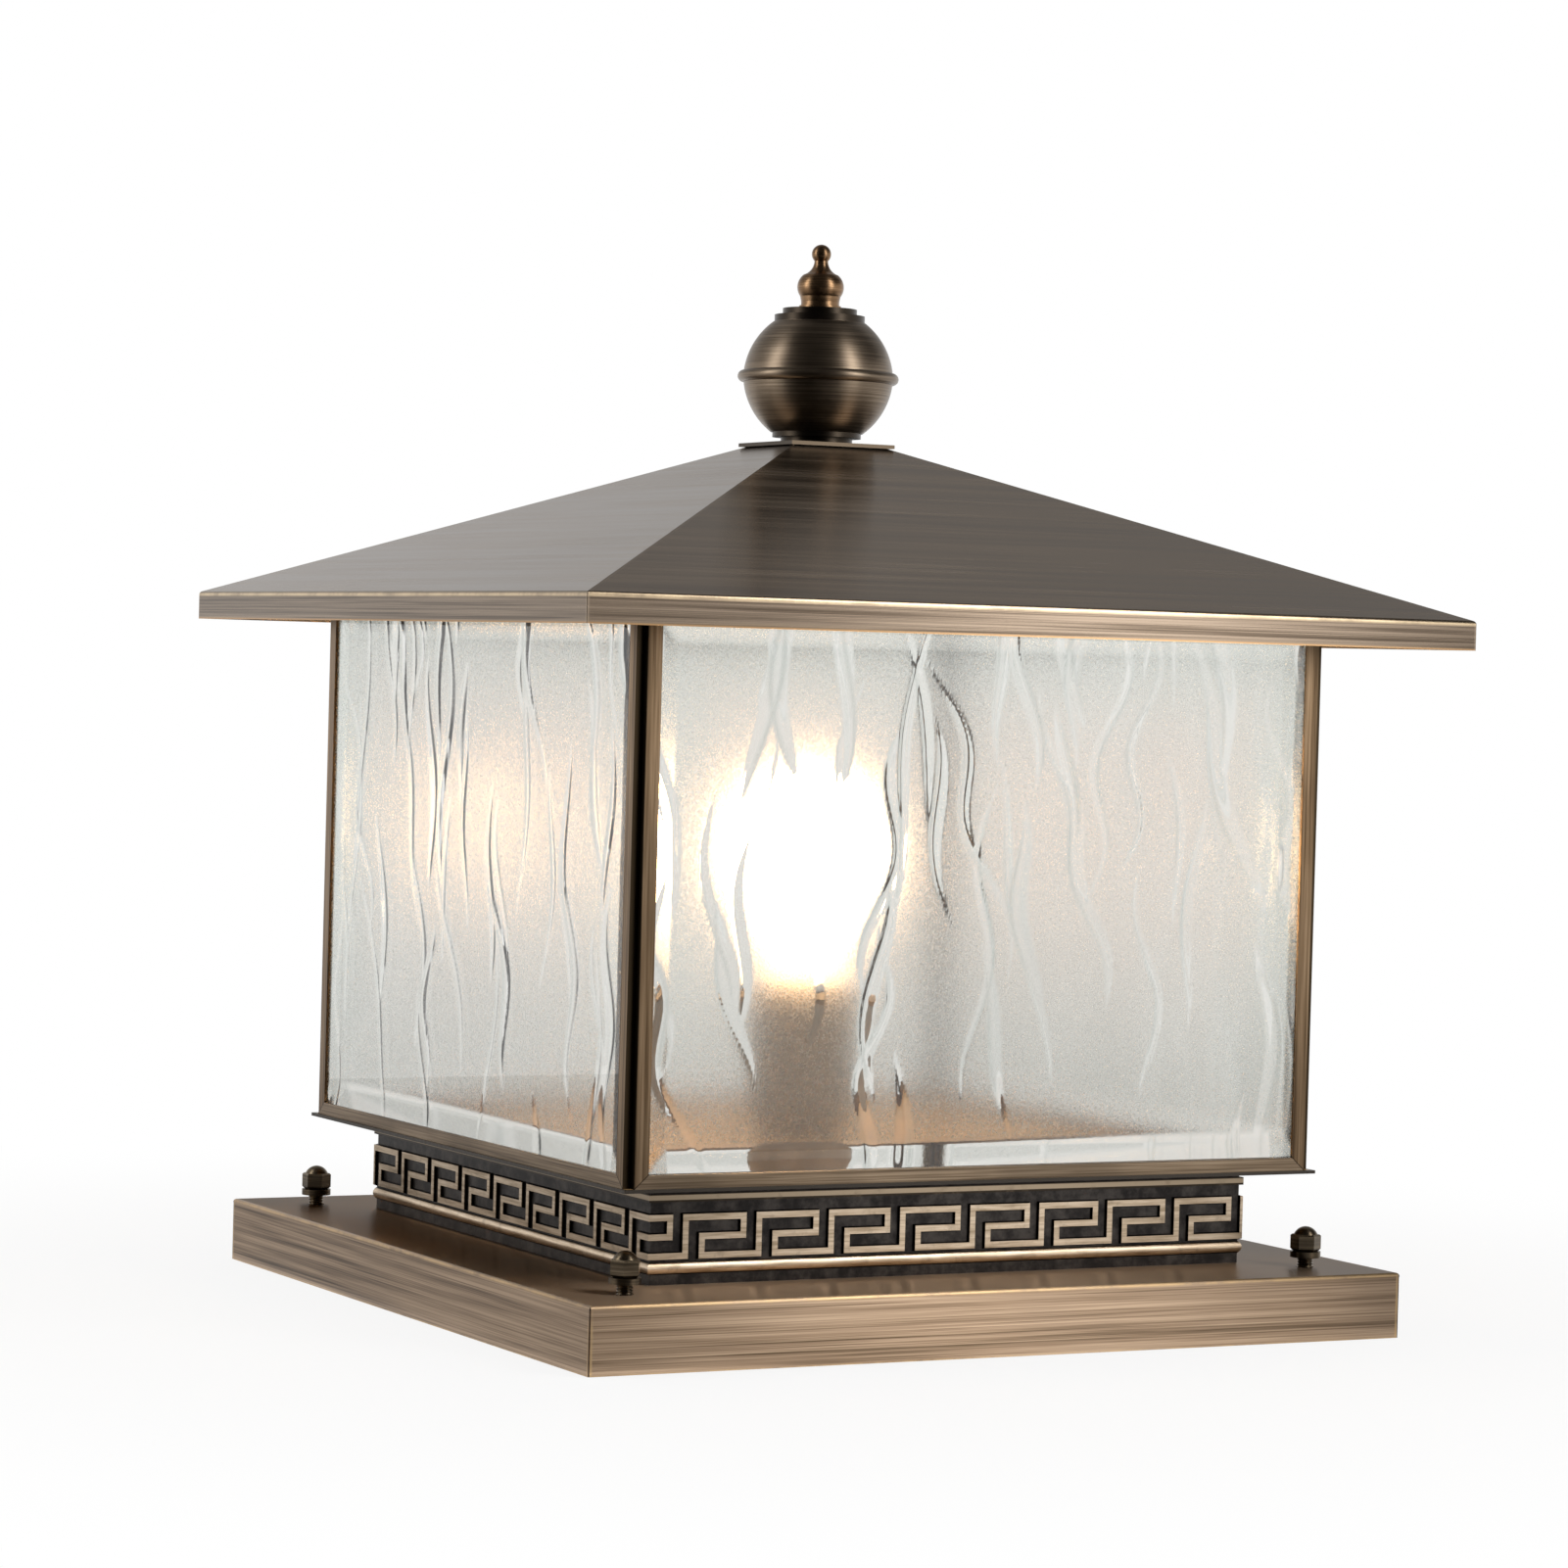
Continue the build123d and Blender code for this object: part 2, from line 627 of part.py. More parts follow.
# Finial tip: turned collar, onion, neck and ball; it screws onto the rod and clamps the roof
collar_bottom = tip_bottom + TIP_FLANGE_HEIGHT
groove_bottom = collar_bottom + TIP_COLLAR_HEIGHT
onion_bottom = groove_bottom + TIP_GROOVE_HEIGHT
onion_top = onion_bottom + ONION_HEIGHT
neck_top = onion_top + TIP_NECK_HEIGHT
ball_radius = TIP_BALL_DIAMETER / 2
neck_radius = TIP_NECK_DIAMETER / 2
ball_centre = neck_top + (ball_radius ** 2 - neck_radius ** 2) ** 0.5
shoulder_radius = ONION_SHOULDER_DIAMETER / 2
rod_bore = ROD_DIAMETER / 2 + THREAD_CLEARANCE
with BuildPart() as finial_tip:
    with BuildSketch(Plane.XZ):
        with BuildLine():
            Polyline(
                (0, ball_centre + ball_radius),
                (0, tip_bottom + TIP_BORE_DEPTH),
                (rod_bore, tip_bottom + TIP_BORE_DEPTH),
                (rod_bore, tip_bottom),
                (TIP_FLANGE_DIAMETER / 2, tip_bottom),
                (TIP_FLANGE_DIAMETER / 2, collar_bottom),
                (TIP_COLLAR_DIAMETER / 2, collar_bottom),
                (TIP_COLLAR_DIAMETER / 2, groove_bottom),
                (TIP_GROOVE_DIAMETER / 2, onion_bottom),
            )
            ThreePointArc(
                (TIP_GROOVE_DIAMETER / 2, onion_bottom),
                (ONION_DIAMETER / 2, onion_bottom + ONION_HEIGHT / 2),
                (shoulder_radius, onion_top),
            )
            ThreePointArc(
                (shoulder_radius, onion_top),
                ((shoulder_radius + neck_radius) / 2 - neck_radius / 4, onion_top + TIP_NECK_HEIGHT / 3),
                (neck_radius, neck_top),
            )
            ThreePointArc(
                (neck_radius, neck_top),
                (ball_radius, ball_centre),
                (0, ball_centre + ball_radius),
            )
        make_face()
    revolve(axis=Axis.Z)
save(finial_tip, "finial_tip")

# Roof rod and its bridge bar across the body, with lock nuts and screws
tab_top = bridge_top + BRIDGE_TAB
with BuildPart() as bridge_bar:
    with BuildSketch(Plane.YZ):
        with BuildLine():
            Polyline(
                (-bridge_end, tab_top),
                (-bridge_end, bridge_bottom),
                (bridge_end, bridge_bottom),
                (bridge_end, tab_top),
                (bridge_end - BRIDGE_SHEET, tab_top),
                (bridge_end - BRIDGE_SHEET, bridge_top),
                (-bridge_end + BRIDGE_SHEET, bridge_top),
                (-bridge_end + BRIDGE_SHEET, tab_top),
                close=True,
            )
        make_face()
    extrude(amount=BRIDGE_WIDTH / 2, both=True)
    with BuildSketch(Plane.XY.offset(bridge_bottom)):
        Circle(rod_bore)
    extrude(amount=BRIDGE_SHEET, mode=Mode.SUBTRACT)
    with BuildSketch(Plane.XZ):
        with Locations((0, tab_middle)):
            with GridLocations(BRIDGE_SCREW_SPACING, 1, 2, 1):
                Circle(BRIDGE_SCREW_DIAMETER / 2 + THREAD_CLEARANCE)
    extrude(amount=bridge_end, both=True, mode=Mode.SUBTRACT)
save(bridge_bar, "bridge_bar")

screw_seat = bridge_end - BRIDGE_SHEET
with BuildPart() as bridge_screws:
    for seat_plane in (Plane.XZ.offset(screw_seat), Plane.XZ.offset(-screw_seat)):
        outward = 1 if seat_plane.origin.Y < 0 else -1
        with BuildSketch(seat_plane):
            with Locations((0, tab_middle)):
                with GridLocations(BRIDGE_SCREW_SPACING, 1, 2, 1):
                    Circle(BRIDGE_SCREW_HEAD / 2)
        extrude(amount=-outward * BRIDGE_SCREW_HEAD_HEIGHT)
        with BuildSketch(seat_plane):
            with Locations((0, tab_middle)):
                with GridLocations(BRIDGE_SCREW_SPACING, 1, 2, 1):
                    Circle(BRIDGE_SCREW_DIAMETER / 2)
        extrude(amount=outward * (BRIDGE_SHEET + FRAME_SHEET))
save(bridge_screws, "bridge_screws")

rod_bottom = bridge_bottom - ROD_NUT_HEIGHT - ROD_TAIL
with BuildPart() as roof_rod:
    with BuildSketch(Plane.XY.offset(rod_bottom)):
        Circle(ROD_DIAMETER / 2)
    extrude(amount=rod_top - rod_bottom)
save(roof_rod, "roof_rod")

with BuildPart() as rod_nuts:
    for bottom in (bridge_bottom - ROD_NUT_HEIGHT, bridge_top):
        add(hex_nut(ROD_NUT_FLATS, ROD_NUT_HEIGHT, bottom, 2 * rod_bore).part)
save(rod_nuts, "rod_nuts")

# Threaded nipple: clamps base, plinth, floor plate and lampholder together, and leads the wires up
nipple_bottom = base_inside - NIPPLE_NUT_HEIGHT - NIPPLE_TAIL
nipple_top = floor_top + NIPPLE_ENGAGEMENT
nipple_bore = NIPPLE_DIAMETER / 2 + THREAD_CLEARANCE
with BuildPart() as nipple:
    with BuildSketch(Plane.XY.offset(nipple_bottom)):
        Circle(NIPPLE_DIAMETER / 2)
        Circle(NIPPLE_BORE / 2, mode=Mode.SUBTRACT)
    extrude(amount=nipple_top - nipple_bottom)
save(nipple, "nipple")

nipple_nut = hex_nut(NIPPLE_NUT_FLATS, NIPPLE_NUT_HEIGHT, base_inside - NIPPLE_NUT_HEIGHT, 2 * nipple_bore)
save(nipple_nut, "nipple_nut")

# Lampholder: turned base, outer shell with a rolled rim, insert, screw sleeve and centre contact
holder_radius = HOLDER_DIAMETER / 2
shell_bore = holder_radius - HOLDER_WALL
with BuildPart() as lampholder_base:
    with BuildSketch(Plane.XZ):
        with BuildLine():
            Polyline(
                (nipple_bore, floor_top),
                (HOLDER_FOOT_DIAMETER / 2, floor_top),
                (HOLDER_FOOT_DIAMETER / 2, floor_top + HOLDER_WALL),
                (holder_radius, floor_top + HOLDER_BASE_FLOOR),
                (holder_radius, holder_split),
                (shell_bore - HOLDER_WALL, holder_split),
                (shell_bore - HOLDER_WALL, floor_top + HOLDER_BASE_FLOOR),
                (nipple_bore, floor_top + HOLDER_BASE_FLOOR),
                close=True,
            )
        make_face()
    revolve(axis=Axis.Z)
save(lampholder_base, "lampholder_base")

with BuildPart() as lampholder_shell:
    with BuildSketch(Plane.XZ):
        with BuildLine():
            Polyline(
                (shell_bore, holder_split),
                (holder_radius, holder_split),
                (holder_radius, holder_top - HOLDER_RIM_HEIGHT),
                (holder_radius + HOLDER_RIM, holder_top - HOLDER_RIM_HEIGHT / 2),
                (holder_radius, holder_top),
                (shell_bore, holder_top),
                close=True,
            )
        make_face()
    revolve(axis=Axis.Z)
save(lampholder_shell, "lampholder_shell")

with BuildPart() as lampholder_insert:
    with BuildSketch(Plane.XY.offset(holder_split)):
        Circle(shell_bore - THREAD_CLEARANCE)
        with GridLocations(2 * INSERT_SLOT, 1, 2, 1):
            Circle(INSERT_SLOT / 3, mode=Mode.SUBTRACT)
    extrude(amount=INSERT_HEIGHT)
save(lampholder_insert, "lampholder_insert")

with BuildPart() as lampholder_sleeve:
    with BuildSketch(Plane.XY.offset(insert_top)):
        Circle(SLEEVE_BORE / 2 + SLEEVE_WALL)
        Circle(SLEEVE_BORE / 2, mode=Mode.SUBTRACT)
    extrude(amount=SLEEVE_HEIGHT)
save(lampholder_sleeve, "lampholder_sleeve")

with BuildPart() as centre_contact:
    with BuildSketch(Plane.XZ):
        with BuildLine():
            Line((-CONTACT_WIDTH, insert_top), (CONTACT_WIDTH, insert_top))
            ThreePointArc(
                (CONTACT_WIDTH, insert_top),
                (0, insert_top + CONTACT_HEIGHT),
                (-CONTACT_WIDTH, insert_top),
            )
        make_face()
    extrude(amount=CONTACT_WIDTH / 2, both=True)
save(centre_contact, "centre_contact")

# Bulb: screw cap with its contact, and a pear-shaped glass envelope
cap_radius = CAP_DIAMETER / 2
cap_top = bulb_bottom + CAP_HEIGHT
with BuildPart() as bulb_cap:
    with BuildSketch(Plane.XZ):
        with BuildLine():
            Polyline(
                (0, bulb_bottom),
                (CAP_CONTACT_DIAMETER / 2, bulb_bottom),
                (cap_radius, bulb_bottom + CAP_CONE_HEIGHT),
                (cap_radius, cap_top),
                (0, cap_top),
                close=True,
            )
        make_face()
    revolve(axis=Axis.Z)
save(bulb_cap, "bulb_cap")

bulb_radius = BULB_DIAMETER / 2
bulb_centre = bulb_bottom + BULB_LENGTH - bulb_radius
bulb_neck = BULB_NECK_DIAMETER / 2
neck_end = cap_top + BULB_NECK_HEIGHT
flank_mid_height = (neck_end + bulb_centre) / 2
flank_mid_radius = (bulb_neck + bulb_radius) / 2


def bulb_section(inset):
    """Half outline of the envelope, drawn inset from its outer face."""
    Polyline((0, bulb_centre + bulb_radius - inset), (0, cap_top + inset), (bulb_neck - inset, cap_top + inset))
    Line((bulb_neck - inset, cap_top + inset), (bulb_neck - inset, neck_end))
    Spline(
        (bulb_neck - inset, neck_end),
        (flank_mid_radius - inset, flank_mid_height),
        (bulb_radius - inset, bulb_centre),
        tangents=((0, 1), (0, 1)),
    )
    RadiusArc((bulb_radius - inset, bulb_centre), (0, bulb_centre + bulb_radius - inset), -(bulb_radius - inset))


with BuildPart() as bulb_glass:
    with BuildSketch(Plane.XZ):
        with BuildLine():
            bulb_section(0)
        make_face()
        with BuildLine():
            bulb_section(BULB_WALL)
        make_face(mode=Mode.SUBTRACT)
    revolve(axis=Axis.Z)
save(bulb_glass, "bulb_glass")

# Terminal block with its fixing screw, and the earth screw, under the top of the tray
terminal_bottom = base_inside - TERMINAL_HEIGHT
with BuildPart() as terminal_block:
    with BuildSketch(Plane.XY.offset(terminal_bottom)):
        with Locations((TERMINAL_OFFSET, 0)):
            Rectangle(TERMINAL_LENGTH, TERMINAL_WIDTH)
            Circle(TERMINAL_SCREW_DIAMETER / 2 + THREAD_CLEARANCE, mode=Mode.SUBTRACT)
    extrude(amount=TERMINAL_HEIGHT)
    with BuildSketch(Plane.XZ.offset(-TERMINAL_WIDTH / 2)):
        with Locations((TERMINAL_OFFSET, terminal_bottom + TERMINAL_HEIGHT / 3)):
            with GridLocations(TERMINAL_LENGTH / TERMINAL_POLES, 1, TERMINAL_POLES, 1):
                Circle(TERMINAL_BORE / 2)
    extrude(amount=TERMINAL_WIDTH, mode=Mode.SUBTRACT)
save(terminal_block, "terminal_block")

with BuildPart() as terminal_screw:
    with BuildSketch(Plane.XY.offset(terminal_bottom)):
        with Locations((TERMINAL_OFFSET, 0)):
            Circle(TERMINAL_SCREW_DIAMETER / 2)
    extrude(amount=TERMINAL_HEIGHT + BASE_SHEET)
    with BuildSketch(Plane.XY.offset(BASE_HEIGHT)):
        with Locations((TERMINAL_OFFSET, 0)):
            Circle(TERMINAL_SCREW_DIAMETER)
    extrude(amount=TERMINAL_SCREW_DIAMETER / 2)
save(terminal_screw, "terminal_screw")

with BuildPart() as earth_screw:
    with BuildSketch(Plane.XY.offset(base_inside - EARTH_HEAD_HEIGHT)):
        with Locations((-TERMINAL_OFFSET, 0)):
            RegularPolygon(EARTH_HEAD_FLATS / 2, 6, major_radius=False)
    extrude(amount=EARTH_HEAD_HEIGHT)
    with BuildSketch(Plane.XY.offset(base_inside)):
        with Locations((-TERMINAL_OFFSET, 0)):
            Circle(EARTH_SCREW_DIAMETER / 2)
    extrude(amount=BASE_SHEET)
    with BuildSketch(Plane.XY.offset(BASE_HEIGHT)):
        with Locations((-TERMINAL_OFFSET, 0)):
            RegularPolygon(EARTH_HEAD_FLATS / 2, 6, major_radius=False)
    extrude(amount=EARTH_HEAD_HEIGHT)
save(earth_screw, "earth_screw")
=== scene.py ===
"""Looks of the square pillar lantern: brushed antique brass, rippled glass and a lit lamp.

Metres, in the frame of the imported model. The front faces -Y, and the camera stands at the
front-left, a little below the eaves.
"""
import json
import math
import random

import bmesh
import bpy
import numpy as np
from mathutils import Matrix, Vector


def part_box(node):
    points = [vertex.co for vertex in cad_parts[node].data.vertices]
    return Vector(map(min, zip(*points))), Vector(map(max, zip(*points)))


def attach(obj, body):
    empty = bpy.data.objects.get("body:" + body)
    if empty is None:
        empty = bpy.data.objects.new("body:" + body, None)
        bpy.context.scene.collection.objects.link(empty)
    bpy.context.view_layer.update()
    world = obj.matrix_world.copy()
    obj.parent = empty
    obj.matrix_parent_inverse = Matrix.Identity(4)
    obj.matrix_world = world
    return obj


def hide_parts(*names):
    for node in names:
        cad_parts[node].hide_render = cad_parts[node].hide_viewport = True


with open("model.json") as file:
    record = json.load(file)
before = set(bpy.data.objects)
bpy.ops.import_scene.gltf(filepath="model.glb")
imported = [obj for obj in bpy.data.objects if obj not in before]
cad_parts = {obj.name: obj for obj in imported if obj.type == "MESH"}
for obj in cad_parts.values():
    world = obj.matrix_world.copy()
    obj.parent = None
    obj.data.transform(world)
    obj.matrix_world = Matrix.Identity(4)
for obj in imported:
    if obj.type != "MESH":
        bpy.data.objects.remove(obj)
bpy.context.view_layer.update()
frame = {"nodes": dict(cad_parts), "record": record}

MM = 0.001
UP = (0, 0, 1)
SIDES = {"front": 0, "right": 90, "back": 180, "left": 270}

# Camera, fitted to the corners seen in the photograph, with its angles in degrees
PHOTO_WIDTH = 1601
CAMERA_FOCAL_PIXELS = 4941.43
CAMERA_AZIMUTH = -27.7145
CAMERA_ELEVATION = 1.4161
CAMERA_ROLL = 1.5594
CAMERA_DISTANCE = 1.8482
CAMERA_SIDESTEP = -0.00878
CAMERA_TARGET = Vector((0, 0, 0.1962))
CAMERA_CLIP_START = 0.01
SENSOR_WIDTH = 36.0

# Sizes that the materials and pieces share with the solids
FASCIA_HEIGHT = 10.6 * MM
STUD_RADIUS = 3.0 * MM
MITRE_START = 3.0 * MM
MITRE_SLOPE = 1.1
KEY_RELIEF = 1.2 * MM
BAND_FOOT = 3.6 * MM
BAND_MOULDING = 4.5 * MM
BAND_BORDER = 5.7 * MM
# Where a painted highlight runs along the band's top border, measured down from its top
BAND_LINE = (3.4 * MM, 4.8 * MM)
FINIAL_FOOT = 4.3 * MM
FINIAL_CROWN = 5.1 * MM
ROOF_SHEET = 1.0 * MM
ROOF_OPENING_REACH = 20 * MM

# Solder along the hips, left out where the frame's corners come near
SOLDER_WIDTH = (2.2 * MM, 3.2 * MM)
SOLDER_RUNS = ((22 * MM, 136 * MM), (146 * MM, 176 * MM))
SOLDER_STEP = 3 * MM
SOLDER_SEED = 4

# Rippled glass: the bevel ground round the inner face, and the folds on it
GLASS_THICKNESS = 4.0 * MM
GLASS_EDGE = 1.2 * MM
GLASS_BEVEL = 12 * MM
GLASS_STEP_ACROSS = 0.8 * MM
GLASS_STEP_UP = 2.0 * MM
FOLD_COUNT = 50
FOLD_BRANCHES = 0.3
FOLD_BRANCH_POINT = (0.15, 0.5)
FOLD_SPREAD = (0.7549, 0.5698)
FOLD_JITTER = (0.05, 0.1)
FOLD_START = (-0.2, 0.92)
FOLD_LENGTH = (55 * MM, 135 * MM)
FOLD_BALANCE = (0.6, 1.5)
FOLD_TAPER = 0.8
FOLD_TIP = 0.05
FOLD_LEAN = (-0.14, 0.36)
FOLD_WAVE = (2.0 * MM, 5.2 * MM)
FOLD_WAVELENGTH = (55 * MM, 115 * MM)
FOLD_WIDTH = (2.0 * MM, 4.6 * MM)
FOLD_STEEPNESS = (0.06, 0.125)
FOLD_SKEW = 0.35
FOLD_STEEP_SIDES = (1, 1, -1)
FOLD_FLANK = 0.55
FOLD_FLANK_WIDTH = 0.42
FOLD_FADE = 6 * MM
FOLD_CLEAR = 0.88
FOLD_CLEAR_RISE = 8
BEVEL_CLEAR = 0.85
GLASS_SEED = 13
GLASS_EDGE_TINT = 55 * MM
# Height over which the panes' foot is painted darker, as shade
GLASS_FOOT_SHADE = 110 * MM

# Lamp: how far up its neck reaches, and its light there and above
BULB_NECK = 0.55
BULB_LIGHT = (3.0, 20.0)

# Threads left off the solids
STUD_PITCH = 1.0 * MM
STUD_THREAD_DEPTH = 0.5 * MM
ROD_PITCH = 1.25 * MM
ROD_THREAD_DEPTH = 0.6 * MM
CAP_PITCH = 3.62 * MM
CAP_THREAD_DEPTH = 1.1 * MM
CAP_CONTACT_RADIUS = 4.75 * MM
CAP_CONE_HEIGHT = 4.0 * MM
CAP_PLAIN_RIM = 5.0 * MM
THREAD_SEGMENTS = 32
THREAD_STEPS = 6

# Studio: the floor, the flags and cards that only reflections show, and the softboxes
FLOOR_REACH = 12.0
FLOOR_DROP = 0.2 * MM
FLOOR_FADE = (0.2, 0.6)
FLOOR_PLAIN_NEAR = 0.86
SKY_LIGHT = 0.55
SEEN_RAYS = ("Is Camera Ray", "Is Glossy Ray", "Is Transmission Ray")
SCREEN_OUTLINE = ((0.9, 0.002), (3.2, 0.002), (3.2, 3.0))
SCREEN_STEPS = 24
SCREEN_AZIMUTHS = (-85, 12)
SCREEN_BRIGHTNESS = 0.02
CEILING_HEIGHT = 1.5
CEILING_REACH = 3.6
CEILING_SPLIT = 0.4
CEILING_END = 7.0
CEILING_FADE = (Vector((0, 1, 0)), 1.6, 4.0, 0.40)
# Each ceiling's name, where it starts and ends towards the back, its brightness and its fade
CEILINGS = (
    ("dark_ceiling", -CEILING_REACH, CEILING_SPLIT, 0.06, None),
    ("dim_ceiling", CEILING_SPLIT, CEILING_END, 0.72, CEILING_FADE),
)
CARD_HEIGHT = 1 * MM
CARD_HEADING = 30
CARD_NEAR = 0.167
CARD_FAR = 0.77
CARD_SIDE = 0.9
CARD_FADE = 0.12
# Each front card's name, its far end, where its fade starts and its brightness after that
FRONT_CARDS = (("card_left", -CARD_SIDE, 0.01, 0.08), ("card_right", CARD_SIDE, 0.05, 0.36))
SIDE_CARD_BRIGHTNESS = 0.38
SOFTBOX_DISTANCE = 0.97
SOFTBOX_HEIGHTS = (0.1, 1.6)
SOFTBOX_CORE = (0.06, 0.1)


class Nodes:
    """A node tree being built, with short calls for the nodes used here."""

    def __init__(self, tree):
        self.tree = tree
        self.tree.nodes.clear()

    def add(self, kind, inputs=None, **settings):
        """A new node. An input is a plain value or another node's output."""
        made = self.tree.nodes.new(kind)
        for name, value in settings.items():
            setattr(made, name, value)
        for name, value in (inputs or {}).items():
            if isinstance(value, bpy.types.NodeSocket):
                self.tree.links.new(value, made.inputs[name])
            else:
                made.inputs[name].default_value = value
        return made

    def math(self, operation, a, b=0.0):
        return self.add("ShaderNodeMath", {0: a, 1: b}, operation=operation).outputs[0]

    def span(self, value, low, high, to_low=0.0, to_high=1.0):
        """Value from low to high, eased into to_low to to_high and held outside."""
        settings = {"Value": value, 1: low, 2: high, 3: to_low, 4: to_high}
        made = self.add("ShaderNodeMapRange", settings, interpolation_type="SMOOTHSTEP")
        return made.outputs["Result"]


class Look(Nodes):
    """A material being built."""

    def __init__(self, name):
        self.material = bpy.data.materials.new(name)
        self.material.use_nodes = True
        super().__init__(self.material.node_tree)
        self.place = self.add("ShaderNodeTexCoord").outputs["Object"]
        axes = self.add("ShaderNodeSeparateXYZ", {"Vector": self.place}).outputs
        self.z = axes["Z"]
        self.reach_x = self.math("ABSOLUTE", axes["X"])
        self.reach_y = self.math("ABSOLUTE", axes["Y"])
        self.out = self.math("MAXIMUM", self.reach_x, self.reach_y)
        self.aside = self.math("MINIMUM", self.reach_x, self.reach_y)

    def noise(self, stretch, detail=3.0, roughness=0.55):
        """Noise with so many features to the metre along each axis."""
        mapped = self.add("ShaderNodeMapping", {"Vector": self.place, "Scale": stretch})
        settings = {"Vector": mapped.outputs[0], "Scale": 1.0, "Detail": detail, "Roughness": roughness}
        return self.add("ShaderNodeTexNoise", settings).outputs["Fac"]

    def near(self, value, place, width):
        """One at the place, easing to nothing at the width from it."""
        away = self.math("ABSOLUTE", self.math("SUBTRACT", value, place))
        return self.span(away, 0.0, width, 1.0, 0.0)

    def mix(self, share, a, b):
        made = self.add("ShaderNodeMix", {0: share, 6: a, 7: b}, data_type="RGBA")
        return made.outputs[2]

    def ramp(self, value, *stops):
        """A colour ramp of (place, colour) stops."""
        made = self.add("ShaderNodeValToRGB", {"Fac": value})
        points = made.color_ramp.elements
        while len(points) < len(stops):
            points.new(0.5)
        for point, (place, colour) in zip(points, stops):
            point.position = place
            point.color = colour
        return made.outputs["Color"]

    def bump(self, height, distance, strength=1.0):
        settings = {"Height": height, "Distance": distance, "Strength": strength}
        return self.add("ShaderNodeBump", settings).outputs["Normal"]

    def principled(self, settings):
        return self.add("ShaderNodeBsdfPrincipled", settings).outputs[0]

    def finish(self, shader):
        self.add("ShaderNodeOutputMaterial", {"Surface": shader})
        return self.material


def rgb(red, green, blue):
    return (red, green, blue, 1.0)


# What the brushed metals share: the near-black colour of painted shade, and the nudge that gives a level
# face its brush lines
PAINTED_SHADE = rgb(0.045, 0.035, 0.026)
SIDEWAYS = (0.001, 0, 0)


# Materials of the brushed metal
def brushed(look, colour, roughness, normal, anisotropy):
    """Metal whose reflections are drawn out across its brush lines, which run level round it
    and from side to side on a level face."""
    facing = look.add("ShaderNodeNewGeometry").outputs["Normal"]
    level = look.add("ShaderNodeVectorMath", {0: facing, 1: UP}, operation="CROSS_PRODUCT").outputs[0]
    tangent = look.add("ShaderNodeVectorMath", {0: level, 1: SIDEWAYS}, operation="ADD").outputs[0]
    settings = {
        "Base Color": colour,
        "Metallic": 1.0,
        "Roughness": roughness,
        "Normal": normal,
        "Anisotropic": anisotropy,
        "Anisotropic Rotation": 0.25,
        "Tangent": tangent,
    }
    return look.principled(settings)


def brush_lines(look, across):
    """Level brush lines, so many to the metre of height: all of them, and the fine ones alone."""
    coarse = look.noise((5, 5, across / 8), 4.0, 0.6)
    fine = look.noise((9, 9, across), 2.0, 0.5)
    lines = look.math("ADD", look.math("MULTIPLY", coarse, 0.62), look.math("MULTIPLY", fine, 0.38))
    return lines, fine


def brass_base():
    """Brushed sheet, lighter along its folds and corners, partly from wear and partly as a painted
    highlight, darker on its level top, with a dark seam down each corner.
    """
    look = Look("brass_base")
    lines, fine = brush_lines(look, 2400)
    cloud = look.noise((7, 7, 14), 3.0)
    colour = look.ramp(
        lines,
        (0.37, rgb(0.12, 0.080, 0.049)),
        (0.49, rgb(0.35, 0.242, 0.158)),
        (0.61, rgb(0.56, 0.405, 0.277)),
    )
    colour = look.mix(look.span(cloud, 0.45, 0.75, 0.0, 0.3), colour, rgb(0.19, 0.148, 0.115))
    # Along the top and bottom folds and the corners a lighter gold is painted: partly wear, partly a
    # painted highlight where the rounded edges would catch the light.
    worn = look.noise((60, 60, 60), 4.0, 0.7)
    low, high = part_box("base_tray")
    top_edge = look.near(look.z, high.z - 0.7 * MM, 1.1 * MM)
    bottom_edge = look.near(look.z, low.z, 0.7 * MM)
    corner = look.near(look.aside, high.x - 0.9 * MM, 0.8 * MM)
    side = look.span(look.out, high.x - 1.4 * MM, high.x - 0.9 * MM)
    # The level top is made darker than the sides.
    darker_top = look.span(side, 0.0, 1.0, 0.34, 0.0)
    colour = look.mix(darker_top, colour, rgb(0.13, 0.094, 0.064))
    edge = look.math("MAXIMUM", top_edge, look.math("MAXIMUM", bottom_edge, corner))
    edge = look.math("MULTIPLY", look.math("MULTIPLY", edge, side), look.span(worn, 0.3, 0.62))
    colour = look.mix(edge, colour, rgb(0.60, 0.41, 0.22))
    seam = look.math("MULTIPLY", side, look.span(look.aside, high.x - 0.55 * MM, high.x - 0.3 * MM))
    colour = look.mix(seam, colour, rgb(0.02, 0.014, 0.009))
    roughness = look.span(lines, 0.3, 0.7, 0.30, 0.40)
    normal = look.bump(fine, 0.02 * MM, 0.5)
    return look.finish(brushed(look, colour, roughness, normal, 0.95))


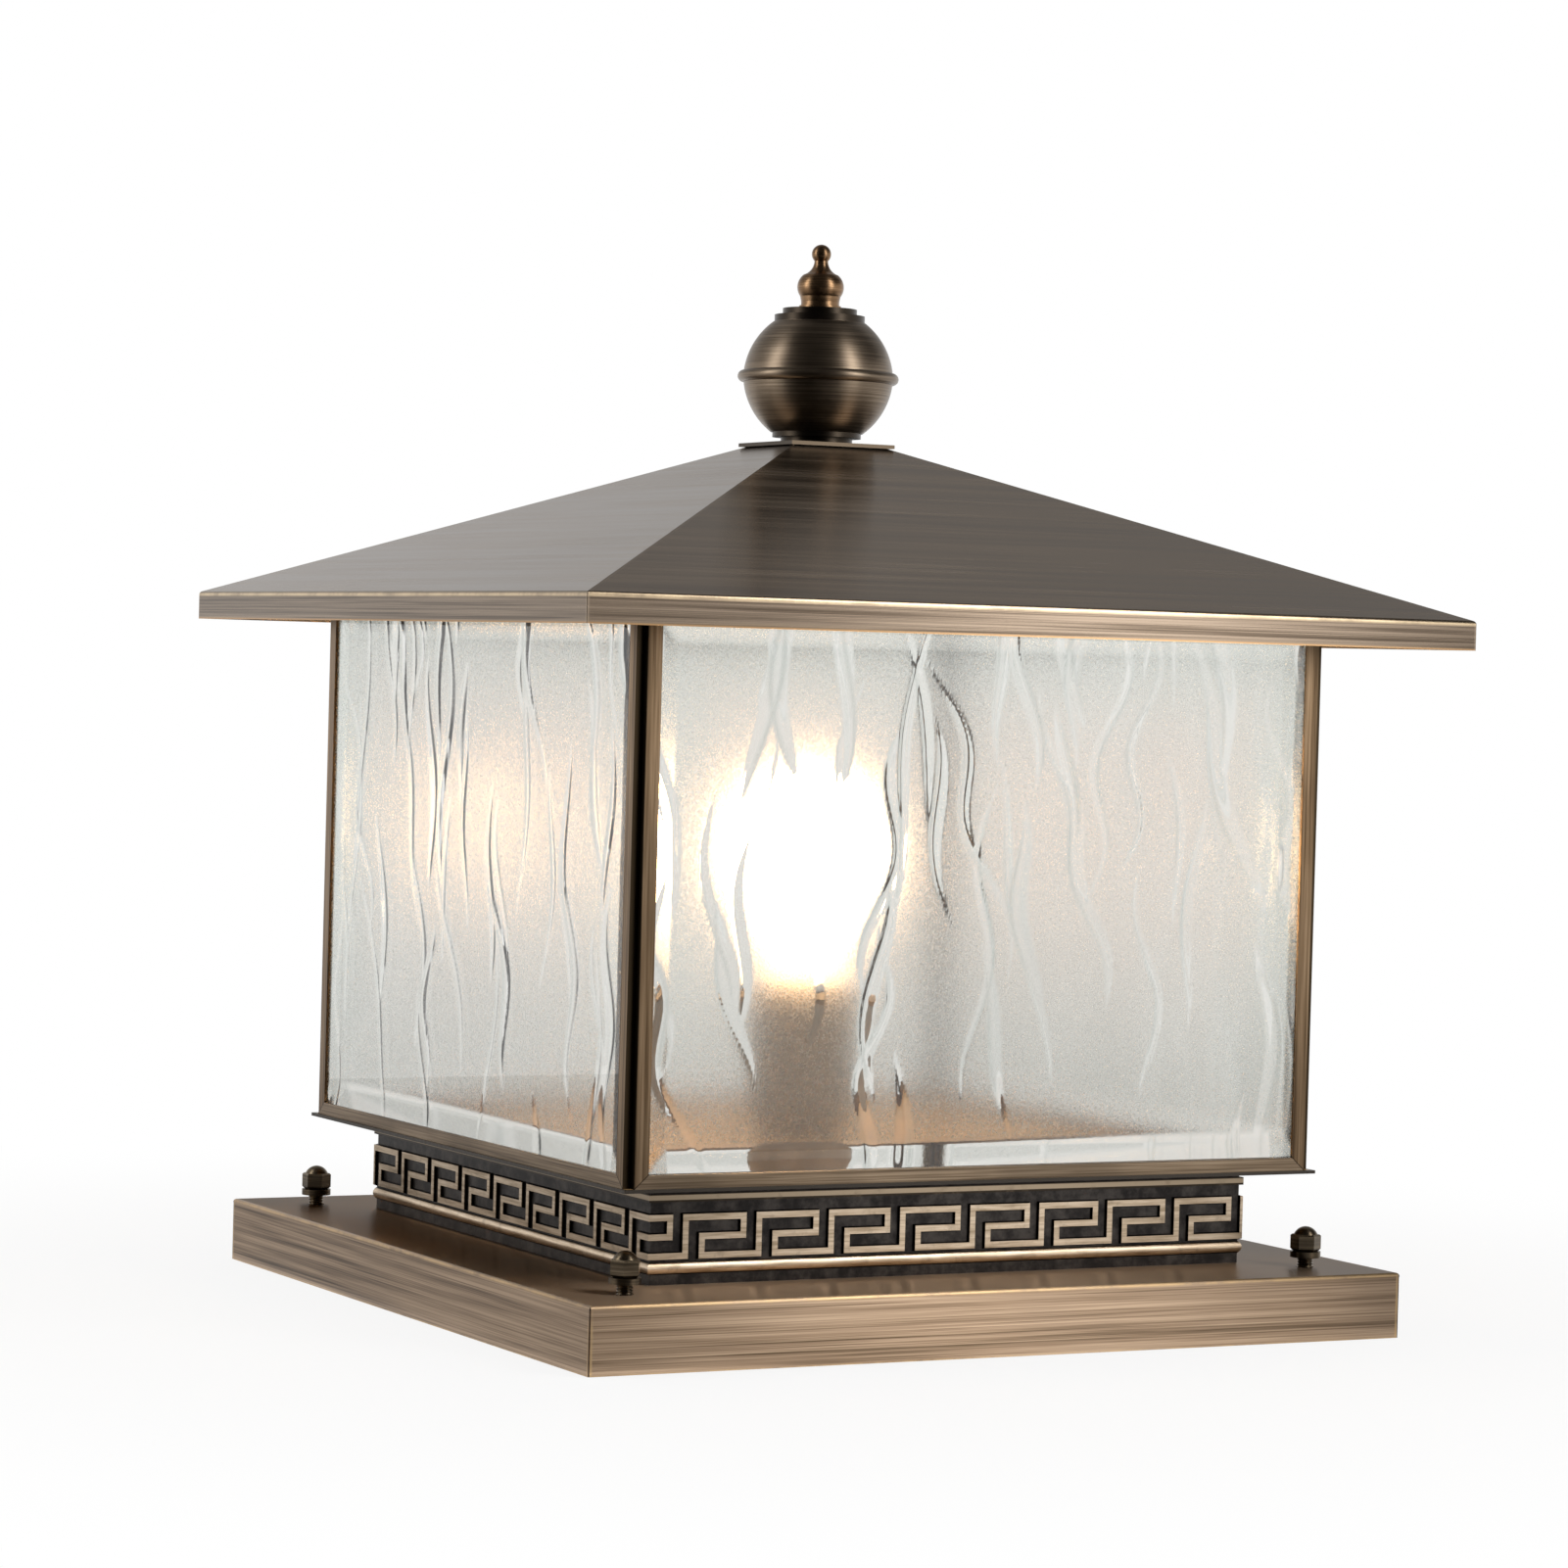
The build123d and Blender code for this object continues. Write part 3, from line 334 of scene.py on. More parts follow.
def brass_roof():
    """Brushed sheet, lighter along the fascia's fold and its lower edge, partly from wear and partly as a
    painted highlight, and painted dark on the cap plate's rim under the finial, as shade.
    """
    look = Look("brass_roof")
    lines, fine = brush_lines(look, 5200)
    cloud = look.noise((6, 6, 12), 3.0)
    colour = look.ramp(
        lines,
        (0.34, rgb(0.13, 0.095, 0.066)),
        (0.49, rgb(0.215, 0.162, 0.115)),
        (0.62, rgb(0.29, 0.225, 0.165)),
    )
    colour = look.mix(look.span(cloud, 0.42, 0.72, 0.0, 0.4), colour, rgb(0.17, 0.135, 0.102))
    # Along the fascia's fold and its lower edge a lighter colour is painted: partly wear, partly a painted
    # highlight where the edges would catch the light.
    worn = look.noise((45, 45, 45), 4.0, 0.7)
    low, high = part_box("roof_panel_front")
    fascia_top = low.z + FASCIA_HEIGHT
    fold = look.near(look.z, fascia_top - 0.9 * MM, 1.2 * MM)
    lower_edge = look.near(look.z, low.z, 1.0 * MM)
    hip = look.near(look.math("SUBTRACT", look.reach_x, look.reach_y), 0.0, 1.3 * MM)
    fascia = look.span(look.z, fascia_top - 1.2 * MM, fascia_top + 0.4 * MM, 1.0, 0.0)
    streaks = look.mix(look.span(lines, 0.38, 0.6), rgb(0.085, 0.062, 0.044), rgb(0.27, 0.208, 0.155))
    colour = look.mix(look.math("MULTIPLY", fascia, 0.9), colour, streaks)
    colour = look.mix(look.math("MULTIPLY", lower_edge, 0.9), colour, rgb(0.5, 0.3, 0.14))
    bright = look.math("MULTIPLY", fold, look.span(worn, 0.34, 0.6, 0.5, 1.0))
    colour = look.mix(bright, colour, rgb(0.66, 0.51, 0.33))
    colour = look.mix(look.math("MULTIPLY", hip, 0.55), colour, rgb(0.50, 0.40, 0.30))
    # Painted shade: the cap plate's rim, under the finial, is painted dark.
    cap_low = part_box("roof_cap_plate")[0].z
    rim = look.span(look.z, cap_low - 0.1 * MM, cap_low + 0.1 * MM)
    colour = look.mix(rim, colour, rgb(0.06, 0.045, 0.031))
    roughness = look.span(lines, 0.3, 0.7, 0.2, 0.28)
    normal = look.bump(fine, 0.01 * MM, 0.5)
    return look.finish(brushed(look, colour, roughness, normal, 0.9))


def brass_frame():
    """Folded strip brushed along its length, with dark mitres between the posts and the rails. The posts
    are painted darker than the rails, and the notch down each post near black, both as painted shade."""
    look = Look("brass_frame")
    body_reach = -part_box("corner_post_front_left")[0].x
    low_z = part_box("bottom_rail_front")[0].z
    high_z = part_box("top_rail_front")[1].z
    over = look.math("SUBTRACT", look.z, low_z)
    under = look.math("SUBTRACT", high_z, look.z)
    line = look.math("MULTIPLY", look.math("MINIMUM", over, under), MITRE_SLOPE)
    inset = look.math("SUBTRACT", body_reach, look.aside)
    past_mitre = look.math("SUBTRACT", look.math("ADD", line, MITRE_START), inset)
    rail = look.span(past_mitre, -0.05 * MM, 0.05 * MM, 1.0, 0.0)
    upright = look.noise((900, 900, 14), 4.0, 0.6)
    level = look.noise((14, 14, 1400), 4.0, 0.6)
    cloud = look.noise((20, 20, 9), 3.0)
    # The posts are painted darker than the rails, as shade, since they stand back between the panes.
    post_colour = look.ramp(
        upright,
        (0.32, rgb(0.078, 0.048, 0.026)),
        (0.50, rgb(0.20, 0.131, 0.074)),
        (0.66, rgb(0.33, 0.226, 0.138)),
    )
    rail_colour = look.ramp(
        level,
        (0.34, rgb(0.13, 0.092, 0.06)),
        (0.50, rgb(0.26, 0.188, 0.123)),
        (0.64, rgb(0.38, 0.285, 0.195)),
    )
    colour = look.mix(rail, post_colour, rail_colour)
    colour = look.mix(look.span(cloud, 0.45, 0.7, 0.0, 0.4), colour, rgb(0.10, 0.074, 0.05))
    colour = look.mix(look.near(past_mitre, 0.0, 0.45 * MM), colour, rgb(0.015, 0.011, 0.008))
    # Painted shade: the notch down each post is painted near black.
    shaded_notch = look.near(inset, MITRE_START, 0.35 * MM)
    colour = look.mix(shaded_notch, colour, rgb(0.05, 0.034, 0.019))
    roughness = look.span(cloud, 0.25, 0.75, 0.28, 0.40)
    normal = look.bump(upright, 0.015 * MM, 0.4)
    settings = {"Base Color": colour, "Metallic": 1.0, "Roughness": roughness, "Normal": normal}
    return look.finish(look.principled(settings))


def brass_floor():
    """Lacquered sheet that the lamp lights warmly from above, painted dark on the rim outside, as shade.
    """
    look = Look("brass_floor")
    body_reach = -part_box("corner_post_front_left")[0].x
    lines = look.noise((12, 700, 400), 4.0, 0.6)
    colour = look.ramp(
        lines,
        (0.32, rgb(0.50, 0.292, 0.118)),
        (0.50, rgb(0.72, 0.450, 0.188)),
        (0.68, rgb(0.82, 0.540, 0.250)),
    )
    # Painted shade: the rim outside the posts is painted dark.
    rim = look.span(look.out, body_reach - 0.4 * MM, body_reach)
    colour = look.mix(rim, colour, PAINTED_SHADE)
    settings = {
        "Base Color": colour,
        "Metallic": 0.4,
        "Roughness": look.span(lines, 0.25, 0.75, 0.36, 0.5),
        "Normal": look.bump(lines, 0.02 * MM, 0.5),
    }
    return look.finish(look.principled(settings))


def brass_band():
    """Pressed strip: bright on what stands out, black down its flanks, dark grey on its ground. Its top
    border is painted dark as shade under the floor plate, with a painted highlight along one line of it.
    """
    look = Look("brass_band")
    low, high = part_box("key_band_front")
    face = high.x
    ground = face - KEY_RELIEF
    foot = low.z + BAND_FOOT
    key_top = look.span(look.out, face - 0.3 * MM, face - 0.1 * MM)
    above_foot = look.span(look.z, foot + 0.3 * MM, foot + 0.6 * MM)
    moulding_top = foot + BAND_MOULDING
    below_key = look.span(look.z, moulding_top - 0.5 * MM, moulding_top - 0.2 * MM, 1.0, 0.0)
    raised = look.math("MAXIMUM", key_top, look.math("MULTIPLY", above_foot, below_key))
    lines = look.noise((60, 60, 900), 4.0, 0.6)
    grime = look.noise((160, 160, 160), 5.0, 0.65)
    bright = look.ramp(
        lines,
        (0.34, rgb(0.44, 0.33, 0.22)),
        (0.50, rgb(0.64, 0.50, 0.355)),
        (0.64, rgb(0.78, 0.63, 0.47)),
    )
    # Painted shade: the top border, under the floor plate, is painted dark.
    border_low = high.z - BAND_BORDER
    shaded_border = look.span(look.z, border_low - 0.2 * MM, border_low)
    # A painted highlight: a lighter line along the border where a lip would catch the light.
    line_high, line_low = (high.z - drop for drop in BAND_LINE)
    below_line = look.span(look.z, line_low - 0.3 * MM, line_low)
    above_line = look.span(look.z, line_high, line_high + 0.3 * MM, 1.0, 0.0)
    lip_highlight = look.math("MULTIPLY", below_line, above_line)
    border_shade_and_highlight = look.mix(lip_highlight, PAINTED_SHADE, rgb(0.42, 0.325, 0.225))
    bright = look.mix(shaded_border, bright, border_shade_and_highlight)
    bright = look.mix(look.span(grime, 0.52, 0.78, 0.0, 0.5), bright, rgb(0.17, 0.125, 0.085))
    floor = look.mix(look.span(grime, 0.35, 0.7), rgb(0.03, 0.027, 0.026), rgb(0.085, 0.075, 0.068))
    flank = look.span(look.out, ground + 0.05 * MM, ground + 0.2 * MM)
    dark = look.mix(flank, floor, rgb(0.010, 0.008, 0.007))
    colour = look.mix(raised, dark, bright)
    roughness = look.span(raised, 0.0, 1.0, 0.42, 0.3)
    normal = look.bump(look.math("ADD", lines, grime), 0.03 * MM, 0.5)
    settings = {"Base Color": colour, "Metallic": 1.0, "Roughness": roughness, "Normal": normal}
    return look.finish(look.principled(settings))


def bronze(name, colours, roughness, lines_across, steps=()):
    """Dark spun or turned bronze with fine rings. The colours run from dark to light, and the steps are
    spans of height painted dark, as shade."""
    look = Look(name)
    rings = look.noise((25, 25, lines_across), 3.0, 0.6)
    cloud = look.noise((45, 45, 45), 3.0)
    colour = look.ramp(rings, *zip((0.3, 0.5, 0.68), colours))
    colour = look.mix(look.span(cloud, 0.45, 0.72, 0.0, 0.4), colour, colours[0])
    # Painted shade: the steps are painted dark.
    for low_z, high_z in steps:
        above = look.span(look.z, low_z - 0.3 * MM, low_z + 0.3 * MM)
        below = look.span(look.z, high_z - 0.3 * MM, high_z + 0.3 * MM, 1.0, 0.0)
        colour = look.mix(look.math("MULTIPLY", above, below), colour, PAINTED_SHADE)
    shine = look.span(rings, 0.25, 0.75, roughness - 0.04, roughness + 0.04)
    normal = look.bump(rings, 0.008 * MM, 0.5)
    return look.finish(brushed(look, colour, shine, normal, 0.5))


def bronze_finial():
    colours = (rgb(0.105, 0.078, 0.053), rgb(0.195, 0.149, 0.106), rgb(0.29, 0.226, 0.163))
    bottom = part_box("finial_lower")[0].z
    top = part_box("finial_upper")[1].z
    # The foot and the crown are the steps painted dark as shade.
    steps = ((bottom - 1 * MM, bottom + FINIAL_FOOT), (top - FINIAL_CROWN, top + 1 * MM))
    return bronze("bronze_finial", colours, 0.37, 3600, steps)


def copper_tip():
    colours = (rgb(0.12, 0.070, 0.037), rgb(0.23, 0.137, 0.072), rgb(0.33, 0.206, 0.115))
    return bronze("copper_tip", colours, 0.32, 3600)


def bronze_nuts():
    colours = (rgb(0.06, 0.045, 0.03), rgb(0.13, 0.10, 0.066), rgb(0.22, 0.17, 0.11))
    return bronze("bronze_nuts", colours, 0.34, 1200)


# Other materials
def textured_glass():
    """Pale glass, finely stippled between its smooth folds, faintly green towards its edges and painted
    darker towards its foot, as shade.
    Lamps reach through it, so what it shuts in is lit."""
    look = Look("textured_glass")
    smooth = look.add("ShaderNodeAttribute", attribute_name="smooth_glass").outputs["Fac"]
    shade = look.add("ShaderNodeAttribute", attribute_name="fold_shade").outputs["Fac"]
    stippled = look.math("SUBTRACT", 1.0, smooth)
    grain = look.noise((1300, 1300, 1300), 2.0, 0.5)
    drops = look.add("ShaderNodeTexVoronoi", {"Vector": look.place, "Scale": 950.0}).outputs["Distance"]
    stipple = look.math("ADD", look.math("MULTIPLY", grain, 0.7), look.math("MULTIPLY", drops, 0.5))
    low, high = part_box("glass_pane_front")
    edge_x = look.span(look.aside, high.x - GLASS_EDGE_TINT, high.x)
    top = look.span(look.z, high.z - GLASS_EDGE_TINT, high.z)
    # Painted shade: the glass is painted greyer towards its foot, where less of the lamp's light reaches.
    bottom = look.span(look.z, low.z, low.z + GLASS_FOOT_SHADE, 1.0, 0.0)
    edge = look.math("MAXIMUM", edge_x, top)
    colour = look.mix(edge, rgb(0.855, 0.793, 0.735), rgb(0.73, 0.77, 0.74))
    colour = look.mix(bottom, colour, rgb(0.59, 0.605, 0.58))
    colour = look.mix(smooth, colour, rgb(0.885, 0.885, 0.865))
    colour = look.mix(shade, colour, rgb(0.54, 0.575, 0.55))
    settings = {
        "Base Color": colour,
        "Roughness": look.math("MULTIPLY", stippled, look.span(grain, 0.35, 0.65, 0.21, 0.29)),
        "IOR": 1.5,
        "Transmission Weight": 1.0,
        "Normal": look.bump(look.math("MULTIPLY", stipple, stippled), 0.07 * MM, 0.4),
    }
    glass = look.principled(settings)
    clear = look.add("ShaderNodeBsdfTransparent", {"Color": rgb(0.82, 0.83, 0.80)}).outputs[0]
    lamp_ray = look.add("ShaderNodeLightPath").outputs["Is Shadow Ray"]
    return look.finish(look.add("ShaderNodeMixShader", {0: lamp_ray, 1: glass, 2: clear}).outputs[0])


def mottled(name, stretch, dark, light, roughness, bump):
    """Bare metal with spots from dark to light. The roughness is a range, and the bump a height
    and a strength."""
    look = Look(name)
    spots = look.noise(stretch, 4.0, 0.6)
    settings = {
        "Base Color": look.ramp(spots, (0.3, dark), (0.7, light)),
        "Metallic": 1.0,
        "Roughness": look.span(spots, 0.3, 0.7, *roughness),
        "Normal": look.bump(spots, *bump),
    }
    return look.finish(look.principled(settings))


def zinc_steel():
    dark, light = rgb(0.44, 0.44, 0.42), rgb(0.68, 0.67, 0.63)
    return mottled("zinc_steel", (240, 240, 240), dark, light, (0.3, 0.46), (0.04 * MM, 0.4))


def contact_brass():
    dark, light = rgb(0.5, 0.33, 0.14), rgb(0.76, 0.56, 0.28)
    return mottled("contact_brass", (180, 180, 180), dark, light, (0.22, 0.36), (0.03 * MM, 0.3))


def bulb_metal():
    dark, light = rgb(0.58, 0.57, 0.55), rgb(0.76, 0.755, 0.74)
    return mottled("bulb_metal", (260, 260, 600), dark, light, (0.24, 0.38), (0.03 * MM, 0.3))


def moulded(name, dark, light, roughness):
    """Moulded plastic or glazed ware with a faint grain."""
    look = Look(name)
    grain = look.noise((900, 900, 900), 2.0)
    cloud = look.noise((70, 70, 70), 3.0)
    settings = {
        "Base Color": look.mix(look.span(cloud, 0.3, 0.7), dark, light),
        "Roughness": look.span(grain, 0.3, 0.7, roughness - 0.06, roughness + 0.08),
        "Normal": look.bump(grain, 0.05 * MM, 0.3),
    }
    return look.finish(look.principled(settings))


def holder_plastic():
    return moulded("holder_plastic", rgb(0.24, 0.2, 0.155), rgb(0.34, 0.285, 0.225), 0.42)


def holder_ceramic():
    return moulded("holder_ceramic", rgb(0.78, 0.75, 0.69), rgb(0.86, 0.84, 0.79), 0.2)


def terminal_plastic():
    return moulded("terminal_plastic", rgb(0.74, 0.73, 0.68), rgb(0.84, 0.83, 0.78), 0.4)


def bulb_light():
    """Frosted envelope, lit, and dimmer towards its neck."""
    look = Look("bulb_light")
    low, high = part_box("bulb_glass")
    frost = look.noise((700, 700, 700), 3.0)
    lit = look.span(look.z, low.z, low.z + BULB_NECK * (high.z - low.z), *BULB_LIGHT)
    settings = {
        "Base Color": look.mix(look.span(frost, 0.35, 0.65), rgb(0.86, 0.83, 0.77), rgb(0.93, 0.91, 0.87)),
        "Roughness": look.span(frost, 0.3, 0.7, 0.38, 0.52),
        "Normal": look.bump(frost, 0.03 * MM, 0.3),
        "Emission Color": rgb(1.0, 0.62, 0.31),
        "Emission Strength": lit,
    }
    return look.finish(look.principled(settings))


MAKERS = (
    brass_base, brass_roof, brass_frame, brass_floor, brass_band, bronze_finial, copper_tip, bronze_nuts,
    textured_glass, zinc_steel, holder_plastic, holder_ceramic, contact_brass, bulb_metal, bulb_light,
    terminal_plastic,
)
materials = {maker.__name__: maker() for maker in MAKERS}
for subpart in frame["record"]["subparts"]:
    node_mesh = frame["nodes"][subpart["node"]].data
    node_mesh.materials.clear()
    node_mesh.materials.append(materials[subpart["material_slot"]])


def add_piece(name, mesh, slot, body, *nodes):
    """A piece in the scene that rides on a body and stands for some of the nodes."""
    piece = bpy.data.objects.new(name, mesh)
    bpy.context.scene.collection.objects.link(piece)
    mesh.materials.append(materials[slot])
    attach(piece, body)
    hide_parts(*nodes)
    return piece


# Rippled panes
def folds(draw, across, up):
    """Height of the folds over a pane, how much of each point is clear, smooth fold, and how
    much is a fold's dark flank."""
    height = np.zeros((len(up), len(across)))
    clear = np.zeros_like(height)
    shade = np.zeros_like(height)
    spread_x, spread_z = FOLD_SPREAD
    jitter_x, jitter_z = FOLD_JITTER
    for index in range(FOLD_COUNT):
        if index and draw.random() < FOLD_BRANCHES:
            start = start + draw.uniform(*FOLD_BRANCH_POINT) * length
            place = np.interp(start, up, centre)
        else:
            share_x = (index * spread_x + draw.uniform(0, jitter_x)) % 1
            share_z = (index * spread_z + draw.uniform(0, jitter_z)) % 1
            place = across[0] + share_x * (across[-1] - across[0])
            start = up[0] + np.interp(share_z, (0, 1), FOLD_START) * (up[-1] - up[0])
        length = draw.uniform(*FOLD_LENGTH)
        lean = draw.uniform(*FOLD_LEAN)
        wave = draw.uniform(*FOLD_WAVE)
        turns = 2 * math.pi / draw.uniform(*FOLD_WAVELENGTH)
        phase = draw.uniform(0, 2 * math.pi)
        width = draw.uniform(*FOLD_WIDTH)
        rise = width * draw.uniform(*FOLD_STEEPNESS)
        steep = draw.choice(FOLD_STEEP_SIDES)
        skew = FOLD_SKEW * steep
        along = np.clip((up - start) / length, 0, 1) ** draw.uniform(*FOLD_BALANCE)
        taper = np.sin(math.pi * along) ** FOLD_TAPER
        sway = np.sin(turns * (up - start) + phase) - math.sin(phase)
        centre = place - lean * (up - start) + wave * sway
        away = across[None, :] - centre[:, None]
        side = np.where(away < 0, 1 - skew, 1 + skew) * width
        share = away / (side * np.maximum(taper, FOLD_TIP)[:, None])
        profile = np.clip(1 - share ** 2, 0, 1) ** 2
        height = np.maximum(height, rise * taper[:, None] * profile)
        clear = np.maximum(clear, np.clip(FOLD_CLEAR_RISE * profile * taper[:, None], 0, FOLD_CLEAR))
        flank = np.exp(-(((-steep * share) - FOLD_FLANK) / FOLD_FLANK_WIDTH) ** 2)
        shade = np.maximum(shade, flank * taper[:, None])
    return height, clear, shade


def grid_lines(start, end, step):
    """Lines from edge to edge, with one where each bevel ends."""
    bevel_steps = round(GLASS_BEVEL / step)
    steps = round((end - start - 2 * GLASS_BEVEL) / step)
    return np.concatenate((
        np.linspace(start, start + GLASS_BEVEL, bevel_steps, endpoint=False),
        np.linspace(start + GLASS_BEVEL, end - GLASS_BEVEL, steps, endpoint=False),
        np.linspace(end - GLASS_BEVEL, end, bevel_steps + 1),
    ))


def rippled_pane(side, turn, draw):
    """A pane with a flat outer face, and a bevel and folds on its inner face."""
    low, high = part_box("glass_pane_front")
    across = grid_lines(low.x, high.x, GLASS_STEP_ACROSS)
    up = grid_lines(low.z, high.z, GLASS_STEP_UP)
    from_side = np.minimum(across - low.x, high.x - across)
    from_end = np.minimum(up - low.z, high.z - up)
    inward = np.minimum(from_side[None, :], from_end[:, None])
    ground = GLASS_EDGE + (GLASS_THICKNESS - GLASS_EDGE) * np.clip(inward / GLASS_BEVEL, 0, 1)
    height, clear, shade = folds(draw, across, up)
    lower_bevel = (up - low.z < GLASS_BEVEL)[:, None] & (from_side > GLASS_BEVEL)[None, :]
    clear = np.where(lower_bevel, np.maximum(clear, BEVEL_CLEAR), clear)
    depth = low.y + ground + height * np.clip(inward / FOLD_FADE, 0, 1)
    places = np.stack(np.broadcast_arrays(across[None, :], depth, up[:, None]), axis=-1).reshape(-1, 3)
    outline = ((low.x, low.z), (high.x, low.z), (high.x, high.z), (low.x, high.z))
    corners = [(x, low.y, z) for x, z in outline]
    turned = Matrix.Rotation(math.radians(turn), 3, "Z")
    vertices = np.concatenate((places, corners)) @ np.array(turned).T
    number = np.arange(len(places)).reshape(depth.shape)
    quads = np.stack((number[:-1, :-1], number[1:, :-1], number[1:, 1:], number[:-1, 1:]), axis=-1)
    ring = [len(places) + corner for corner in range(4)]
    rims = (number[0], number[:, -1], number[-1, ::-1], number[::-1, 0])
    sides = [[ring[(edge + 1) % 4], ring[edge], *rim.tolist()] for edge, rim in enumerate(rims)]
    faces = quads.reshape(-1, 4).tolist() + [ring] + sides
    mesh = bpy.data.meshes.new(f"rippled_pane_{side}")
    mesh.from_pydata(vertices.tolist(), [], faces)
    flat_faces = 1 + len(sides)
    mesh.polygons.foreach_set("use_smooth", [True] * (len(faces) - flat_faces) + [False] * flat_faces)
    for attribute, values, outside in (("smooth_glass", clear, 1.0), ("fold_shade", shade, 0.0)):
        made = mesh.attributes.new(attribute, "FLOAT", "POINT")
        made.data.foreach_set("value", np.append(values.ravel(), [outside] * len(corners)))
    add_piece(f"rippled_pane_{side}", mesh, "textured_glass", "lantern", f"glass_pane_{side}")


glass_draw = random.Random(GLASS_SEED)
for side_name, side_turn in SIDES.items():
    rippled_pane(side_name, side_turn, glass_draw)


# Threads
def wind(built, outline, pitch, centre):
    """A round piece about an upright axis, threaded: its outline gives the radius and the
    depth of the thread at each height."""
    heights, radii, depths = np.array(outline).T
    rows = math.ceil((heights[-1] - heights[0]) / pitch * THREAD_STEPS) + 1
    rings = []
    for z in np.union1d(np.linspace(heights[0], heights[-1], rows), heights):
        radius = np.interp(z, heights, radii)
        depth = np.interp(z, heights, depths)
        ring = []
        for segment in range(THREAD_SEGMENTS):
            angle = 2 * math.pi * segment / THREAD_SEGMENTS
            share = (z / pitch - segment / THREAD_SEGMENTS) % 1
            reach = radius - depth * abs(2 * share - 1)
            ring.append(built.verts.new((
                centre[0] + reach * math.cos(angle),
                centre[1] + reach * math.sin(angle),
                z,
            )))
        rings.append(ring)
    for below, above in zip(rings, rings[1:]):
        for segment in range(THREAD_SEGMENTS):
            following = (segment + 1) % THREAD_SEGMENTS
            corners = (below[segment], below[following], above[following], above[segment])
            built.faces.new(corners).smooth = True
    built.faces.new(rings[0][::-1])
    built.faces.new(rings[-1])


def threaded_piece(name, node, slot, body, outline, pitch, centres):
    built = bmesh.new()
    for centre in centres:
        wind(built, outline, pitch, centre)
    mesh = bpy.data.meshes.new(name)
    built.to_mesh(mesh)
    built.free()
    add_piece(name, mesh, slot, body, node)


def thread_up(node, radius, depth):
    """Outline of a plain rod threaded from end to end."""
    low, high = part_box(node)
    return [(low.z, radius, depth), (high.z, radius, depth)]


stud_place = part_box("mounting_studs")[1].x - STUD_RADIUS
stud_centres = [(x, y) for x in (-stud_place, stud_place) for y in (-stud_place, stud_place)]
stud_outline = thread_up("mounting_studs", STUD_RADIUS, STUD_THREAD_DEPTH)
threaded_piece(
    "threaded_studs", "mounting_studs", "bronze_nuts", "lantern", stud_outline, STUD_PITCH, stud_centres
)

rod_outline = thread_up("roof_rod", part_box("roof_rod")[1].x, ROD_THREAD_DEPTH)
threaded_piece("threaded_rod", "roof_rod", "zinc_steel", "lantern", rod_outline, ROD_PITCH, [(0, 0)])

cap_low, cap_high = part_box("bulb_cap")
cap_radius = cap_high.x
cap_outline = [
    (cap_low.z, CAP_CONTACT_RADIUS, 0),
    (cap_low.z + CAP_CONE_HEIGHT, cap_radius - CAP_THREAD_DEPTH, 0),
    (cap_low.z + CAP_CONE_HEIGHT + CAP_PITCH / 2, cap_radius, CAP_THREAD_DEPTH),
    (cap_high.z - CAP_PLAIN_RIM, cap_radius, CAP_THREAD_DEPTH),
    (cap_high.z - CAP_PLAIN_RIM + CAP_PITCH / 2, cap_radius, 0),
    (cap_high.z, cap_radius, 0),
]
threaded_piece("threaded_cap", "bulb_cap", "bulb_metal", "bulb", cap_outline, CAP_PITCH, [(0, 0)])


# Solder inside the roof
def solder_run(built, draw, side_x, side_y, start, end):
    """A fillet under a hip: three corners at each step, on the hip and out on both panels."""
    low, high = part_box("roof_panel_front")
    fold_z = low.z + FASCIA_HEIGHT
    slope = (high.z - fold_z) / (high.x - ROOF_OPENING_REACH)
    drop = ROOF_SHEET * math.hypot(1, slope)
    rings = []
    for reach in np.arange(start, end, SOLDER_STEP):
        z = fold_z + slope * (high.x - reach) - drop
        inner = reach - draw.uniform(*SOLDER_WIDTH)
        places = ((reach, reach), (inner, reach), (reach, inner))
        rings.append([built.verts.new((side_x * x, side_y * y, z)) for x, y in places])
    for before, after in zip(rings, rings[1:]):
        for corner in range(3):
            following = (corner + 1) % 3
            built.faces.new((before[corner], before[following], after[following], after[corner]))
    built.faces.new(rings[0])
    built.faces.new(rings[-1])


solder = bmesh.new()
solder_draw = random.Random(SOLDER_SEED)
for side_x in (-1, 1):
    for side_y in (-1, 1):
        for run in SOLDER_RUNS:
            solder_run(solder, solder_draw, side_x, side_y, *run)
bmesh.ops.recalc_face_normals(solder, faces=solder.faces)
solder_mesh = bpy.data.meshes.new("hip_solder")
solder.to_mesh(solder_mesh)
solder.free()
add_piece("hip_solder", solder_mesh, "zinc_steel", "roof")


# Floor
def pale_floor():
    """Pale, with the object's soft shadow near it and plain white further out."""
    look = Look("pale_floor")
    middle = look.add("ShaderNodeVectorMath", {0: look.place}, operation="LENGTH").outputs["Value"]
    paths = look.add("ShaderNodeLightPath").outputs
    camera_ray, glossy_ray, transmission_ray = (paths[ray] for ray in SEEN_RAYS)
    seen = look.math("MAXIMUM", look.math("MAXIMUM", camera_ray, glossy_ray), transmission_ray)
    white = look.add("ShaderNodeEmission", {"Color": rgb(1, 1, 1), "Strength": 1.0}).outputs[0]
    pale = look.add("ShaderNodeBsdfDiffuse", {"Color": rgb(0.86, 0.86, 0.85)}).outputs[0]
    plain = look.math("MULTIPLY", seen, look.span(middle, *FLOOR_FADE, FLOOR_PLAIN_NEAR, 1.0))
    return look.finish(look.add("ShaderNodeMixShader", {0: plain, 1: pale, 2: white}).outputs[0])


